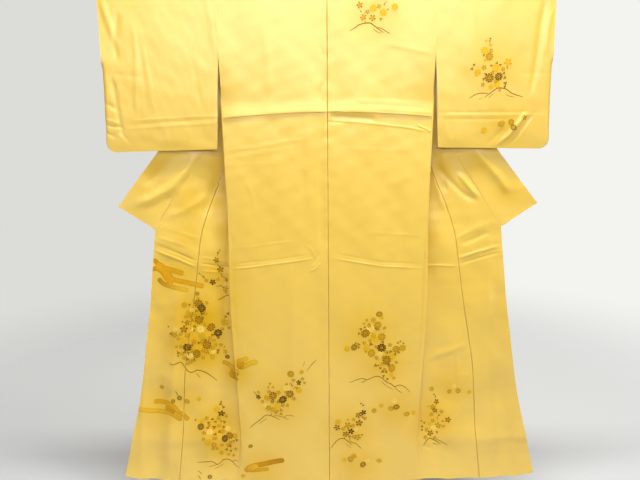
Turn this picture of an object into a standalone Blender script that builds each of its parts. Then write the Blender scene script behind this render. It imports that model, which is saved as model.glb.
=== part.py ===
"""Formal silk kimono hung on a straight rod, seen from its back.

The back panels face -Y. The rod runs along X through both sleeves and under the shoulders. Each
front comes over the rod, hangs behind the back, folds along a slanting line from the neck, and
opens outwards as a wing. Every cloth piece is one wall about a grid of points, rows first.
A drop is a distance below the rod's centre line. Metres, +Z up, origin at the rod's centre.
"""

import math

import bmesh
import bpy
from mathutils import Quaternion, Vector

# Rod and cloth
ROD_RADIUS = 0.012
ROD_LENGTH = 1.46
ROD_SIDES = 40
CLOTH = 0.0018
SEAM_GAP = 0.0003
TWIST_GAP = 0.0008
SHOULDER_STEPS = 10
SHOULDER_RADIUS = (ROD_RADIUS + SEAM_GAP + CLOTH / 2) / math.cos(math.pi / (2 * SHOULDER_STEPS))

# Garment lengths, measured down from the rod
HEM_DROP = 1.592
ARMHOLE_DROP = 0.21
NECK_DROP = 0.022
OKUMI_TOP_DROP = 0.225
COLLAR_END_DROP = 0.733
FOLD_RADIUS = 0.003

# Waist tuck across the back: the upper cloth laps over the lower
TUCK_DROP = 0.384
TUCK_HALF_STEP = 0.0015
TUCK_LAP = 0.0022
TUCK_LAP_HEIGHT = 0.055
TUCK_SAG = 0.016
TUCK_SAG_REACH = 0.15

# Half width of the back: drop, x
BACK_EDGE = [
    (0.00, 0.3120),
    (0.21, 0.3115),
    (0.40, 0.3065),
    (0.65, 0.3010),
    (0.83, 0.2955),
    (1.10, 0.2915),
    (1.40, 0.2880),
    (1.592, 0.2860),
]

# Depth of the back's side edge and of the front's side edge: drop, y
BACK_EDGE_DEPTH = [
    (0.00, -SHOULDER_RADIUS),
    (0.12, -0.0130),
    (0.21, -0.0120),
    (0.30, -0.0070),
    (0.36, -0.0020),
    (0.45, -0.0040),
    (0.60, -0.0060),
    (1.592, -0.0060),
]
FRONT_EDGE_DEPTH = [
    (0.00, SHOULDER_RADIUS),
    (0.12, 0.0115),
    (0.21, 0.0090),
    (0.30, 0.0030),
    (0.36, -0.0020),
    (0.45, -0.0040),
    (0.60, -0.0060),
    (1.592, -0.0060),
]

# Inner line of the hidden fold, behind the back: drop, x
HIDDEN_FOLD = [
    (0.00, 0.090),
    (0.227, 0.132),
    (0.532, 0.188),
    (0.761, 0.231),
    (0.961, 0.261),
    (1.110, 0.2745),
    (1.221, 0.2800),
    (1.345, 0.2855),
    (1.447, 0.2870),
    (1.592, 0.2870),
]

# How far the front stands out past the side seam before it folds back: drop, length
SIDE_BAND = [
    (0.00, 0.0200),
    (0.12, 0.0200),
    (0.21, 0.0020),
    (0.65, 0.0020),
    (0.961, 0.0140),
    (1.110, 0.0120),
    (1.221, 0.0070),
    (1.345, 0.0030),
    (1.592, 0.0010),
]

# Headings of a level cut through the front, in half turns: drop, at the side edge, in the hidden
# strip behind the back, and in the wing. 0 points outwards and 1 points inwards.
START_HEADING = [(0.00, 1.0), (0.21, 1.0), (0.36, 0.0), (1.592, 0.0)]
STRIP_HEADING = [(0.00, 1.0), (1.221, 1.0), (1.345, 0.75), (1.447, 0.40), (1.524, 0.20), (1.592, 0.10)]
WING_HEADING = [(-0.004, 1.0), (0.03, 0.0), (1.592, 0.0)]

# Seams and edge of the opened wing: drop, x
COLLAR_SEAM = [
    (0.00, 0.090),
    (0.06, 0.113),
    (0.12, 0.139),
    (0.20, 0.177),
    (0.25, 0.2065),
    (0.40, 0.3080),
    (0.544, 0.4070),
    (0.733, 0.5340),
]
OKUMI_SEAM = [
    (0.20, 0.1765),
    (0.25, 0.2000),
    (0.36, 0.2430),
    (0.532, 0.3080),
    (0.761, 0.3940),
    (0.834, 0.4055),
    (0.963, 0.4255),
    (1.094, 0.4495),
    (1.193, 0.4660),
    (1.302, 0.4760),
    (1.395, 0.4825),
    (1.592, 0.5065),
]
FRONT_EDGE = [
    (0.733, 0.534),
    (0.863, 0.550),
    (0.961, 0.562),
    (1.094, 0.584),
    (1.221, 0.604),
    (1.345, 0.630),
    (1.447, 0.655),
    (1.524, 0.672),
    (1.592, 0.687),
]

# How far back the wing's outer part leans: drop, y
WING_LEAN = [
    (0.00, 0.000),
    (0.20, 0.002),
    (0.45, 0.006),
    (0.655, 0.009),
    (0.90, 0.005),
    (1.30, 0.000),
    (1.592, 0.000),
]
WING_LEAN_REACH = 0.35

# Large soft upright folds in the wing: x at the top, x at the hem, first drop, full drop,
# half width and depth, where a positive depth is a trough seen from the front
WING_FOLDS = [
    (0.515, 0.590, 0.86, 1.35, 0.032, 0.010),
    (0.420, 0.395, 1.10, 1.50, 0.035, -0.006),
    (0.350, 0.335, 0.70, 1.10, 0.030, 0.005),
]

# The hem rises a little towards the wing's corner
HEM_LIFT = 0.020
HEM_LIFT_START = 0.56
HEM_LIFT_REACH = 0.13
HEM_LIFT_POWER = 8

# Collar: width at the neck and at its end, and its directions along the neck
COLLAR_NECK_WIDTH = 0.057
COLLAR_END_WIDTH = 0.130
COLLAR_BEND_RADIUS = 0.0045
COLLAR_FLAT_BEND = 0.006
COLLAR_BEND_STEPS = 4
COLLAR_STEPS = 4
# How fast a panel's end turns round the neck, and where the collar's twist gap begins
NECK_TURN_RATE = 2.2
TWIST_START = 0.75
# Share of the way from the centre back to behind the rod, and the collar's direction there
COLLAR_LEAN = [
    (0.00, (0.00, -0.15, 1.00)),
    (0.25, (0.10, -0.15, 1.00)),
    (0.50, (0.45, -0.12, 0.85)),
    (0.70, (0.70, -0.03, 0.72)),
    (1.00, (0.80, 0.05, 0.60)),
]

# Sleeve: inner and outer edges (drop, x), and depths of its two layers (drop, y)
SLEEVE_BOTTOM_DROP = 0.489
SLEEVE_INNER = [(0.00, 0.3123), (0.21, 0.3118), (0.32, 0.3190), (0.489, 0.3290)]
SLEEVE_OUTER = [(0.00, 0.6450), (0.30, 0.6500), (0.489, 0.6570)]
SLEEVE_CORNER = 0.028
SLEEVE_OUTER_SAG = 0.006
SLEEVE_STEPS = 7
WRIST_DROP = 0.23
WRIST_BLEND = 0.03
SLEEVE_NEAR_DEPTH = [
    (0.00, -SHOULDER_RADIUS),
    (0.12, -0.0130),
    (0.21, -0.0120),
    (0.35, -0.0085),
    (0.44, -0.0050),
    (0.474, -0.0025),
    (0.489, -0.00105),
]
SLEEVE_FAR_DEPTH = [
    (0.00, SHOULDER_RADIUS),
    (0.12, 0.0115),
    (0.21, 0.0090),
    (0.35, 0.0060),
    (0.44, 0.0035),
    (0.474, 0.0020),
    (0.489, 0.00105),
]
SLEEVE_SEAM_DEPTH = 0.00105
# Where a layer closes on its outer seam: distance from the edge, share of the layer's depth
SLEEVE_EDGE = [(0.014, 1.00), (0.006, 0.72), (0.001, 0.36), (0.000, 0.00)]

# Rows of each piece: drops from the shoulder to the hem. Back and front share the side seam's.
WING_DROP = 0.03
SEAM_DROPS = [
    0.44, 0.54, 0.64, COLLAR_END_DROP, 0.84, 0.96, 1.094, 1.221, 1.345, 1.447, 1.524, HEM_DROP,
]
BACK_DROPS = [
    0.06, 0.12, 0.21, 0.30, 0.345, 0.37, TUCK_DROP - TUCK_HALF_STEP, TUCK_DROP + TUCK_HALF_STEP,
] + SEAM_DROPS
FRONT_DROPS = [
    0.008, 0.016, 0.023, WING_DROP, 0.06, 0.10, 0.15, 0.20, OKUMI_TOP_DROP, 0.25, 0.30, 0.36,
] + SEAM_DROPS
SLEEVE_DROPS = [0.06, 0.13, 0.21, 0.23, 0.30, 0.38, 0.44, 0.461, 0.474, 0.484, SLEEVE_BOTTOM_DROP]
# Neck edge on the back, from the centre to the shoulder: drop, x
NECK_EDGE = [(NECK_DROP, 0.0), (0.018, 0.040), (0.010, 0.066), (0.0, 0.080)]
NECK_POINT = 0.090

# Columns of a front's level cut: band, first bend, strip, second bend, wing
CUT_STEPS = (1, 4, 3, 4, 4)
STRAIGHT_BEND = 0.030
STRAIGHT_BEND_POWER = 4
LEAST_WING = 0.006
# Share of the wing over which its depth passes from the fold's own to the wing's
WING_BLEND = 0.5
OKUMI_STEPS = 6
# The back's depth follows its side edges by this power of the share of its half width
BACK_EDGE_POWER = 4

# Materials
SILK = (0.86, 0.62, 0.14, 1.0)
SILK_ROUGHNESS = 0.45
WOOD = (0.42, 0.26, 0.12, 1.0)
WOOD_ROUGHNESS = 0.5
SHARP_EDGE = 40.0


def clear_scene():
    """Remove every object that the file starts with."""
    for item in list(bpy.data.objects):
        bpy.data.objects.remove(item, do_unlink=True)


def smooth(value):
    """0 below 0, 1 above 1, and a soft step between."""
    value = min(max(value, 0.0), 1.0)
    return value * value * (3.0 - 2.0 * value)


def mix(low, high, share):
    """A value between two others."""
    return low + (high - low) * share


def read(table, at):
    """A smooth curve through a table's rows that never overshoots them."""
    keys = [row[0] for row in table]
    values = [row[1] for row in table]
    if at <= keys[0]:
        return values[0]
    if at >= keys[-1]:
        return values[-1]
    slopes = [(values[i + 1] - values[i]) / (keys[i + 1] - keys[i]) for i in range(len(keys) - 1)]
    ends = [slopes[0]] + [0.0] * (len(keys) - 2) + [slopes[-1]]
    for i in range(1, len(keys) - 1):
        if slopes[i - 1] * slopes[i] > 0.0:
            ends[i] = 2.0 * slopes[i - 1] * slopes[i] / (slopes[i - 1] + slopes[i])
    i = max(k for k in range(len(keys) - 1) if keys[k] <= at)
    span = keys[i + 1] - keys[i]
    t = (at - keys[i]) / span
    start = values[i] * (1.0 + 2.0 * t) * (1.0 - t) ** 2 + ends[i] * span * t * (1.0 - t) ** 2
    finish = values[i + 1] * t * t * (3.0 - 2.0 * t) + ends[i + 1] * span * t * t * (t - 1.0)
    return start + finish


def plain_material(name, colour, roughness):
    """A plain Principled material with the part's colour."""
    material = bpy.data.materials.new(name)
    material.use_nodes = True
    shader = material.node_tree.nodes["Principled BSDF"]
    shader.inputs["Base Color"].default_value = colour
    shader.inputs["Roughness"].default_value = roughness
    shader.inputs["Metallic"].default_value = 0.0
    return material


def add_object(name, mesh, material):
    """Turn a finished bmesh into a named, smooth-shaded object."""
    mesh.normal_update()
    bmesh.ops.recalc_face_normals(mesh, faces=mesh.faces)
    data = bpy.data.meshes.new(name)
    mesh.to_mesh(data)
    mesh.free()
    data.materials.append(material)
    data.shade_smooth()
    data.set_sharp_from_angle(angle=math.radians(SHARP_EDGE))
    item = bpy.data.objects.new(name, data)
    bpy.context.collection.objects.link(item)
    return item


def cloth_solid(name, rows, material):
    """One closed wall of even thickness about a grid of points."""
    last_row = len(rows) - 1
    last_column = len(rows[0]) - 1
    mesh = bmesh.new()
    near, far = [], []
    for i, row in enumerate(rows):
        near.append([])
        far.append([])
        for j, point in enumerate(row):
            along = rows[min(i + 1, last_row)][j] - rows[max(i - 1, 0)][j]
            across = row[min(j + 1, last_column)] - row[max(j - 1, 0)]
            out = along.cross(across).normalized() * (CLOTH / 2)
            near[i].append(mesh.verts.new(point + out))
            far[i].append(mesh.verts.new(point - out))
    for i in range(last_row):
        for j in range(last_column):
            mesh.faces.new((near[i][j], near[i + 1][j], near[i + 1][j + 1], near[i][j + 1]))
            mesh.faces.new((far[i][j], far[i][j + 1], far[i + 1][j + 1], far[i + 1][j]))
    rim = [(i, 0) for i in range(last_row)]
    rim += [(last_row, j) for j in range(last_column)]
    rim += [(i, last_column) for i in range(last_row, 0, -1)]
    rim += [(0, j) for j in range(last_column, 0, -1)]
    for (i, j), (k, m) in zip(rim, rim[1:] + rim[:1]):
        mesh.faces.new((near[i][j], far[i][j], far[k][m], near[k][m]))
    return add_object(name, mesh, material)


def on_side(rows, side):
    """The rows as they are for the right half, or mirrored for the left."""
    return [[Vector((side * p.x, p.y, p.z)) for p in row] for row in rows]


def hem_lift(x, drop):
    """How far a point near the wing's lower corner is raised."""
    share = min(max((x - HEM_LIFT_START) / HEM_LIFT_REACH, 0.0), 1.0)
    return HEM_LIFT * share ** 2 * (drop / HEM_DROP) ** HEM_LIFT_POWER


def seam_reach(drop):
    """Where the body panel ends in the wing: at the collar, and lower down at the okumi."""
    return read(COLLAR_SEAM if drop < OKUMI_TOP_DROP else OKUMI_SEAM, drop)


def front_cut(drop):
    """Level cut through a front as (x, y) pairs, from the side edge to the wing's seam."""
    headings = [math.pi * read(table, drop) for table in (START_HEADING, STRIP_HEADING, WING_HEADING)]
    turns = [abs(headings[1] - headings[0]), abs(headings[2] - headings[1])]
    bends = [
        max(FOLD_RADIUS * turn, STRAIGHT_BEND * (1.0 - turn / math.pi) ** STRAIGHT_BEND_POWER)
        for turn in turns
    ]
    x = read(BACK_EDGE, drop) + SEAM_GAP * math.cos(headings[0])
    y = 0.0
    cut = [(x, y)]

    def go(length, first, last, steps):
        nonlocal x, y
        for k in range(steps):
            heading = mix(first, last, (k + 0.5) / steps)
            x += math.cos(heading) * length / steps
            y += math.sin(heading) * length / steps
            cut.append((x, y))

    go(read(SIDE_BAND, drop), headings[0], headings[0], CUT_STEPS[0])
    go(bends[0], headings[0], headings[1], CUT_STEPS[1])
    allowance = mix(bends[1] + LEAST_WING, FOLD_RADIUS, turns[1] / math.pi)
    strip = max(x - read(HIDDEN_FOLD, drop) - allowance, FOLD_RADIUS)
    go(strip, headings[1], headings[1], CUT_STEPS[2])
    go(bends[1], headings[1], headings[2], CUT_STEPS[3])
    wing = max((seam_reach(drop) - x) * math.cos(headings[2]), LEAST_WING)
    go(wing, headings[2], headings[2], CUT_STEPS[4])
    depth = read(FRONT_EDGE_DEPTH, drop)
    return [(px, py + depth) for px, py in cut]


def wing_depth(x, drop):
    """Depth of the opened wing at a point: where the fold leaves it, its lean and its soft folds."""
    level = front_cut(max(drop, WING_DROP))[-1][1]
    away = min(max((x - read(HIDDEN_FOLD, drop)) / WING_LEAN_REACH, 0.0), 1.0)
    depth = level + read(WING_LEAN, drop) * away * away
    for top_x, hem_x, first, full, half_width, size in WING_FOLDS:
        middle = mix(top_x, hem_x, (drop - first) / (HEM_DROP - first))
        nearness = (x - middle) / half_width
        depth += size * smooth((drop - first) / (full - first)) * math.exp(-nearness * nearness)
    return depth


def front_row(drop):
    """Points of a body panel's front at one height, from the side edge to the wing's seam."""
    cut = front_cut(drop)
    first_wing = len(cut) - 1 - CUT_STEPS[4]
    row = []
    for k, (x, y) in enumerate(cut):
        if k > first_wing and drop >= WING_DROP:
            share = (k - first_wing) / CUT_STEPS[4]
            y = mix(y, wing_depth(x, drop), smooth(share / WING_BLEND))
        row.append(Vector((x, y, -drop)))
    return row


def shoulder_fractions():
    """Shares of the shoulder's width at which the columns of the front's cut lie."""
    cut = front_cut(-SHOULDER_RADIUS)
    width = cut[0][0] - cut[-1][0]
    return [(cut[0][0] - x) / width for x, _ in cut]


def tuck_sag(drop):
    """How far the rows near the waist tuck hang lower at the side edges."""
    return TUCK_SAG * math.exp(-(((drop - TUCK_DROP) / TUCK_SAG_REACH) ** 2))


def back_point(x, drop, side):
    """A point of the back, with its side edges drawn inwards and the waist tuck's lap."""
    edge = abs(x) / side
    low = drop + tuck_sag(drop) * edge * edge
    y = mix(-SHOULDER_RADIUS, read(BACK_EDGE_DEPTH, low), edge ** BACK_EDGE_POWER)
    if drop < TUCK_DROP:
        y -= TUCK_LAP * smooth(1.0 - (TUCK_DROP - drop) / TUCK_LAP_HEIGHT)
    return Vector((x, y, -low))


def back_row(drop, inner):
    """Points of a body panel's back at one height, from the side edge to its inner end."""
    side = read(BACK_EDGE, drop + tuck_sag(drop))
    fractions = shoulder_fractions()
    last = len(fractions) - 1
    even = smooth(drop / ARMHOLE_DROP)
    shares = [mix(share, k / last, even) for k, share in enumerate(fractions)]
    return [back_point(mix(side, inner, share), drop, side) for share in shares]


def shoulder_row(angle):
    """Points over the rod, the angle running from the back at 0 to the front at half a turn."""
    side = BACK_EDGE[0][1]
    neck = mix(NECK_EDGE[-1][1], NECK_POINT, math.sin(min(angle, math.pi / 2)))
    y = -SHOULDER_RADIUS * math.cos(angle)
    z = SHOULDER_RADIUS * math.sin(angle)
    return [Vector((mix(side, neck, share), y, z)) for share in shoulder_fractions()]


def body_rows():
    """A whole body panel: up the back, over the rod and down the folded front."""
    rows = [back_row(drop, SEAM_GAP / 2) for drop in reversed(BACK_DROPS)]
    rows += [back_row(drop, max(x, SEAM_GAP / 2)) for drop, x in NECK_EDGE]
    rows += [shoulder_row(math.pi * k / SHOULDER_STEPS) for k in range(1, SHOULDER_STEPS)]
    rows.append(front_row(0.0))
    rows += [front_row(drop) for drop in FRONT_DROPS]
    return rows


def okumi_rows():
    """The overlap panel between the body panel and the collar or front edge."""
    rows = []
    for drop in [d for d in FRONT_DROPS if d >= OKUMI_TOP_DROP]:
        start = read(OKUMI_SEAM, drop) + SEAM_GAP
        edge = read(COLLAR_SEAM if drop < COLLAR_END_DROP else FRONT_EDGE, drop)
        row = []
        for k in range(OKUMI_STEPS + 1):
            x = mix(start, edge, k / OKUMI_STEPS)
            row.append(Vector((x, wing_depth(x, drop), -drop + hem_lift(x, drop))))
        rows.append(row)
    return rows


def bent_strip(start, first, last, gap):
    """Collar points across one neck section: a short bend between two directions, then straight."""
    turn = first.angle(last)
    bend = max(COLLAR_BEND_RADIUS * turn, COLLAR_FLAT_BEND)
    axis = first.cross(last).normalized()
    here = start + first * gap
    points = [here]
    for k in range(COLLAR_BEND_STEPS):
        heading = Quaternion(axis, turn * k / (COLLAR_BEND_STEPS - 1)) @ first
        here = here + heading * (bend / COLLAR_BEND_STEPS)
        points.append(here)
    for k in range(1, COLLAR_STEPS + 1):
        points.append(here + last * ((COLLAR_NECK_WIDTH - bend) * k / COLLAR_STEPS))
    return points


def collar_lean(share):
    """The collar's direction between the centre back and behind the rod."""
    parts = [read([(key, lean[i]) for key, lean in COLLAR_LEAN], share) for i in range(3)]
    return Vector(parts).normalized()


def wing_direction(drop):
    """Square to the collar's seam, outwards and upwards in the wing."""
    half_step = 0.02
    low = min(drop + half_step, COLLAR_END_DROP)
    slope = (read(COLLAR_SEAM, low) - read(COLLAR_SEAM, low - 2.0 * half_step)) / (2.0 * half_step)
    return Vector((1.0, 0.0, slope)).normalized()


def neck_sections(seam):
    """Collar sections round the neck, where it stands up and then turns over the shoulder."""
    last = len(seam) - 1
    sections = []
    for k, start in enumerate(seam):
        share = k / last
        turn = min(share * NECK_TURN_RATE, 1.0) * math.pi / 2
        out_of_panel = Vector((-math.sin(turn), 0.0, math.cos(turn)))
        if k == last:
            out_of_panel = level_direction(0.0)
        start = start if k else Vector((0.0, start.y, start.z))
        gap = mix(SEAM_GAP, TWIST_GAP, smooth((share - TWIST_START) / (1.0 - TWIST_START)))
        sections.append(bent_strip(start, out_of_panel, collar_lean(share), gap))
    return sections


def level_direction(drop):
    """The direction in which a body panel's level cut ends."""
    heading = math.pi * read(WING_HEADING, drop)
    return Vector((math.cos(heading), math.sin(heading), 0.0))


def wing_section(x, drop):
    """One collar section in the opened wing, lying in the wing's own surface."""
    across = wing_direction(drop)
    width = mix(COLLAR_NECK_WIDTH, COLLAR_END_WIDTH, drop / COLLAR_END_DROP)
    spots = [COLLAR_FLAT_BEND * k / COLLAR_BEND_STEPS for k in range(COLLAR_BEND_STEPS)]
    spots += [mix(COLLAR_FLAT_BEND, width, k / COLLAR_STEPS) for k in range(COLLAR_STEPS + 1)]
    section = []
    for spot in spots:
        px = x + SEAM_GAP + across.x * spot
        pz = -drop + across.z * spot
        section.append(Vector((px, wing_depth(px, -pz), pz)))
    return section


def collar_half():
    """Sections of the collar from the centre back of the neck to the right-hand end."""
    ends = [row[-1] for row in body_rows()[len(BACK_DROPS):]]
    neck_count = len(NECK_EDGE) + SHOULDER_STEPS
    sections = neck_sections(ends[:neck_count])
    for drop, end in zip(FRONT_DROPS, ends[neck_count:]):
        if drop < WING_DROP:
            lean = collar_lean(1.0).lerp(wing_direction(drop), drop / WING_DROP).normalized()
            sections.append(bent_strip(end, level_direction(drop), lean, TWIST_GAP))
        elif drop < OKUMI_TOP_DROP:
            sections.append(wing_section(end.x, drop))
        elif drop <= COLLAR_END_DROP:
            sections.append(wing_section(read(COLLAR_SEAM, drop), drop))
    return sections


def sleeve_layer_row(drop, depth_table):
    """One layer of a sleeve at one height, from the body side to the wrist side."""
    inner = read(SLEEVE_INNER, drop)
    outer = read(SLEEVE_OUTER, drop)
    into_corner = max(drop - (SLEEVE_BOTTOM_DROP - SLEEVE_CORNER), 0.0) / SLEEVE_CORNER
    outer -= SLEEVE_CORNER * (1.0 - math.sqrt(max(1.0 - into_corner ** 2, 0.0)))
    depth = read(depth_table, drop)
    closed = smooth((drop - WRIST_DROP) / WRIST_BLEND)
    seam = math.copysign(SLEEVE_SEAM_DEPTH, depth)
    flat_end = outer - SLEEVE_EDGE[0][0]
    spots = [(mix(inner, flat_end, k / SLEEVE_STEPS), 1.0) for k in range(SLEEVE_STEPS)]
    spots += [(outer - away, share) for away, share in SLEEVE_EDGE]
    row = []
    for x, share in spots:
        y = mix(depth, mix(seam, depth, share), closed)
        sag = SLEEVE_OUTER_SAG * (x - inner) / (outer - inner) * drop / SLEEVE_BOTTOM_DROP
        row.append(Vector((x, y, -drop - sag)))
    return row


def sleeve_rows():
    """A whole sleeve: up its near layer, over the rod and down its far layer."""
    rows = [sleeve_layer_row(drop, SLEEVE_NEAR_DEPTH) for drop in reversed(SLEEVE_DROPS)]
    top = sleeve_layer_row(0.0, SLEEVE_FAR_DEPTH)
    for k in range(SHOULDER_STEPS + 1):
        angle = math.pi * k / SHOULDER_STEPS
        y = -SHOULDER_RADIUS * math.cos(angle)
        z = SHOULDER_RADIUS * math.sin(angle)
        rows.append([Vector((p.x, y, z)) for p in top])
    rows += [sleeve_layer_row(drop, SLEEVE_FAR_DEPTH) for drop in SLEEVE_DROPS]
    return rows


def build_bodies(silk):
    """The two body panels, each back and front in one length over the shoulder."""
    rows = body_rows()
    cloth_solid("body_left", on_side(rows, -1), silk)
    cloth_solid("body_right", on_side(rows, 1), silk)


def build_okumi(silk):
    """The two narrow overlap panels."""
    rows = okumi_rows()
    cloth_solid("okumi_left", on_side(rows, -1), silk)
    cloth_solid("okumi_right", on_side(rows, 1), silk)


def build_sleeves(silk):
    """The two sleeves, each one length folded over the rod."""
    rows = sleeve_rows()
    cloth_solid("sleeve_left", on_side(rows, -1), silk)
    cloth_solid("sleeve_right", on_side(rows, 1), silk)


def build_collar(silk):
    """One long collar, from end to end round the back of the neck."""
    half = collar_half()
    left = on_side(half[1:], -1)
    cloth_solid("collar", list(reversed(left)) + half, silk)


def build_rod(wood):
    """The straight rod that holds the garment up."""
    mesh = bmesh.new()
    bmesh.ops.create_cone(mesh, cap_ends=True, segments=ROD_SIDES, radius1=ROD_RADIUS,
                          radius2=ROD_RADIUS, depth=ROD_LENGTH)
    for vertex in mesh.verts:
        x, y, z = vertex.co
        vertex.co = (z, y, -x)
    add_object("rod", mesh, wood)


def main():
    """Build the whole garment on its rod."""
    clear_scene()
    silk = plain_material("yellow_silk", SILK, SILK_ROUGHNESS)
    wood = plain_material("turned_wood", WOOD, WOOD_ROUGHNESS)
    build_bodies(silk)
    build_okumi(silk)
    build_sleeves(silk)
    build_collar(silk)
    build_rod(wood)


main()
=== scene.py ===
"""The kimono on its rod as it looks: silk and lining, dyed sprays of flowers, wood, light and camera.

Every cloth piece is a thin shell on the form of its solid, worked out again from the same seams.
A drop is a distance below the rod's centre line. Metres, +Z up, the back faces -Y.
"""

import math

import bpy
import numpy as np
from mathutils import Matrix, Quaternion, Vector
from mathutils.bvhtree import BVHTree


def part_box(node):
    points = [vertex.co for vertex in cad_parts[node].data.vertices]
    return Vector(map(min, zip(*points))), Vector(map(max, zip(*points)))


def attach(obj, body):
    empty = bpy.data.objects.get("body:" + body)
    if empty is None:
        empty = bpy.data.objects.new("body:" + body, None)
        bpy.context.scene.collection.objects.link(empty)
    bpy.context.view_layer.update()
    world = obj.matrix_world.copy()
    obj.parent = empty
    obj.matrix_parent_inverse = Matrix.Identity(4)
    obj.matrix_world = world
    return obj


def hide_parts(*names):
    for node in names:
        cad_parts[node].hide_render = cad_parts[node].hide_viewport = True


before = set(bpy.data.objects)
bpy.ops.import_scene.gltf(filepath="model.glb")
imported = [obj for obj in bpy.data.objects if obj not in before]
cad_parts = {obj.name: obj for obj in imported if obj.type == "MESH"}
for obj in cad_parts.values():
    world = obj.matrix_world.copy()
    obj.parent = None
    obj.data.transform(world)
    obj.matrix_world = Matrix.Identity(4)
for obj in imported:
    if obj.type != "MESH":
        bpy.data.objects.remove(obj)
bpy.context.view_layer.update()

# Sizes read from the frame
ROD_LOW, ROD_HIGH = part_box("rod")
ROD_RADIUS = (ROD_HIGH[2] - ROD_LOW[2]) / 2
HEM_DROP = -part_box("body_right")[0][2]

# Cloth
SOLID_CLOTH = 0.0018
SHELL = 0.0010
SEAM_GAP = 0.0002
TWIST_GAP = 0.0008
ROD_GAP = 0.0003
SHOULDER_STEPS = 10
SHOULDER_RADIUS = (ROD_RADIUS + ROD_GAP + SOLID_CLOTH / 2) / math.cos(math.pi / (2 * SHOULDER_STEPS))
ARMHOLE_DROP = 0.21
NECK_DROP = 0.022
NECK_POINT = 0.090
BELOW_NECK = 0.004
WING_DROP = 0.03
OKUMI_TOP_DROP = 0.225
COLLAR_END_DROP = 0.733
FOLD_RADIUS = 0.003
STRAIGHT_BEND = 0.030
LEAST_WING = 0.006

# Waist tuck across the back
TUCK_DROP = 0.384
TUCK_LAP = 0.0034
TUCK_LAP_HEIGHT = 0.050
TUCK_SAG = 0.016
TUCK_SAG_REACH = 0.15

# Half width of the back, and depth of the side edges of back and front: drop, metres
BACK_EDGE = [
    (0.00, 0.3120), (0.21, 0.3115), (0.40, 0.3065), (0.65, 0.3010), (0.83, 0.2955), (1.10, 0.2915), (1.40, 0.2880),
    (1.592, 0.2860),
]
BACK_EDGE_DEPTH = [
    (0.00, -SHOULDER_RADIUS), (0.12, -0.0130), (0.21, -0.0120), (0.30, -0.0070), (0.36, -0.0020), (0.45, -0.0040),
    (0.60, -0.0060), (1.592, -0.0060),
]
FRONT_EDGE_DEPTH = [
    (0.00, SHOULDER_RADIUS), (0.12, 0.0115), (0.21, 0.0090), (0.30, 0.0030), (0.36, -0.0020), (0.45, -0.0040),
    (0.60, -0.0060), (1.592, -0.0060),
]

# The front's folds: inner line of the hidden fold, and the band outside the side seam
HIDDEN_FOLD = [
    (0.00, 0.090), (0.227, 0.132), (0.532, 0.188), (0.761, 0.231), (0.961, 0.261), (1.110, 0.2745), (1.221, 0.2800),
    (1.345, 0.2855), (1.447, 0.2870), (1.592, 0.2870),
]
SIDE_BAND = [
    (0.00, 0.0200), (0.12, 0.0200), (0.21, 0.0020), (0.36, 0.0020), (0.65, 0.0020), (0.961, 0.0140), (1.110, 0.0120),
    (1.221, 0.0070), (1.345, 0.0030), (1.592, 0.0010),
]
# Headings of a level cut in half turns, 0 outwards and 1 inwards: drop, heading
START_HEADING = [(0.00, 1.0), (0.21, 1.0), (0.36, 0.0), (1.592, 0.0)]
STRIP_HEADING = [(0.00, 1.0), (1.221, 1.0), (1.345, 0.75), (1.447, 0.40), (1.524, 0.20), (1.592, 0.10)]
WING_HEADING = [(-0.004, 1.0), (0.03, 0.0), (1.592, 0.0)]

# Seams and edge of the opened wing: drop, x
COLLAR_SEAM = [
    (0.00, 0.090), (0.06, 0.113), (0.12, 0.139), (0.20, 0.177), (0.25, 0.2065), (0.40, 0.3080), (0.544, 0.4070),
    (0.733, 0.5340),
]
OKUMI_SEAM = [
    (0.20, 0.1765), (0.25, 0.2000), (0.36, 0.2430), (0.532, 0.3080), (0.761, 0.3940), (0.834, 0.4055),
    (0.963, 0.4255), (1.094, 0.4495), (1.193, 0.4660), (1.302, 0.4760), (1.395, 0.4825), (1.592, 0.5065),
]
FRONT_EDGE = [
    (0.733, 0.534), (0.863, 0.550), (0.961, 0.562), (1.094, 0.584), (1.221, 0.604), (1.345, 0.630), (1.447, 0.655),
    (1.524, 0.672), (1.592, 0.687),
]
WING_LEAN = [(0.00, 0.0), (0.20, 0.002), (0.45, 0.006), (0.655, 0.009), (0.90, 0.005), (1.30, 0.0), (1.592, 0.0)]
TROUGH = 0.019
TROUGH_REACH = 0.12
TROUGH_DROP = 0.33
TROUGH_FADE = 0.16
TROUGH_EASE = 0.60
TROUGH_EASE_DROP = 0.56
TROUGH_EASE_FADE = 0.30
EDGE_TROUGH = 0.007
EDGE_TROUGH_REACH = 0.045
EDGE_TROUGH_FADE = 0.5
WING_LEAN_REACH = 0.35
# Share of the wing's width over which it eases out of the fold
WING_EASE = 0.5
# Soft upright folds: x at the top, x at the hem, first drop, full drop, half width, depth
WING_FOLDS = [
    (0.515, 0.590, 0.86, 1.35, 0.032, 0.010),
    (0.420, 0.395, 1.10, 1.50, 0.035, -0.006),
    (0.350, 0.335, 0.70, 1.10, 0.030, 0.005),
]
HEM_LIFT = 0.020
HEM_LIFT_START = 0.56
HEM_LIFT_REACH = 0.13
HEM_LIFT_POWER = 8

# Collar
COLLAR_NECK_WIDTH = 0.057
COLLAR_END_WIDTH = 0.130
COLLAR_BEND_RADIUS = 0.0045
COLLAR_FLAT_BEND = 0.006
COLLAR_BEND_STEPS = 4
COLLAR_STEPS = 6
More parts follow.
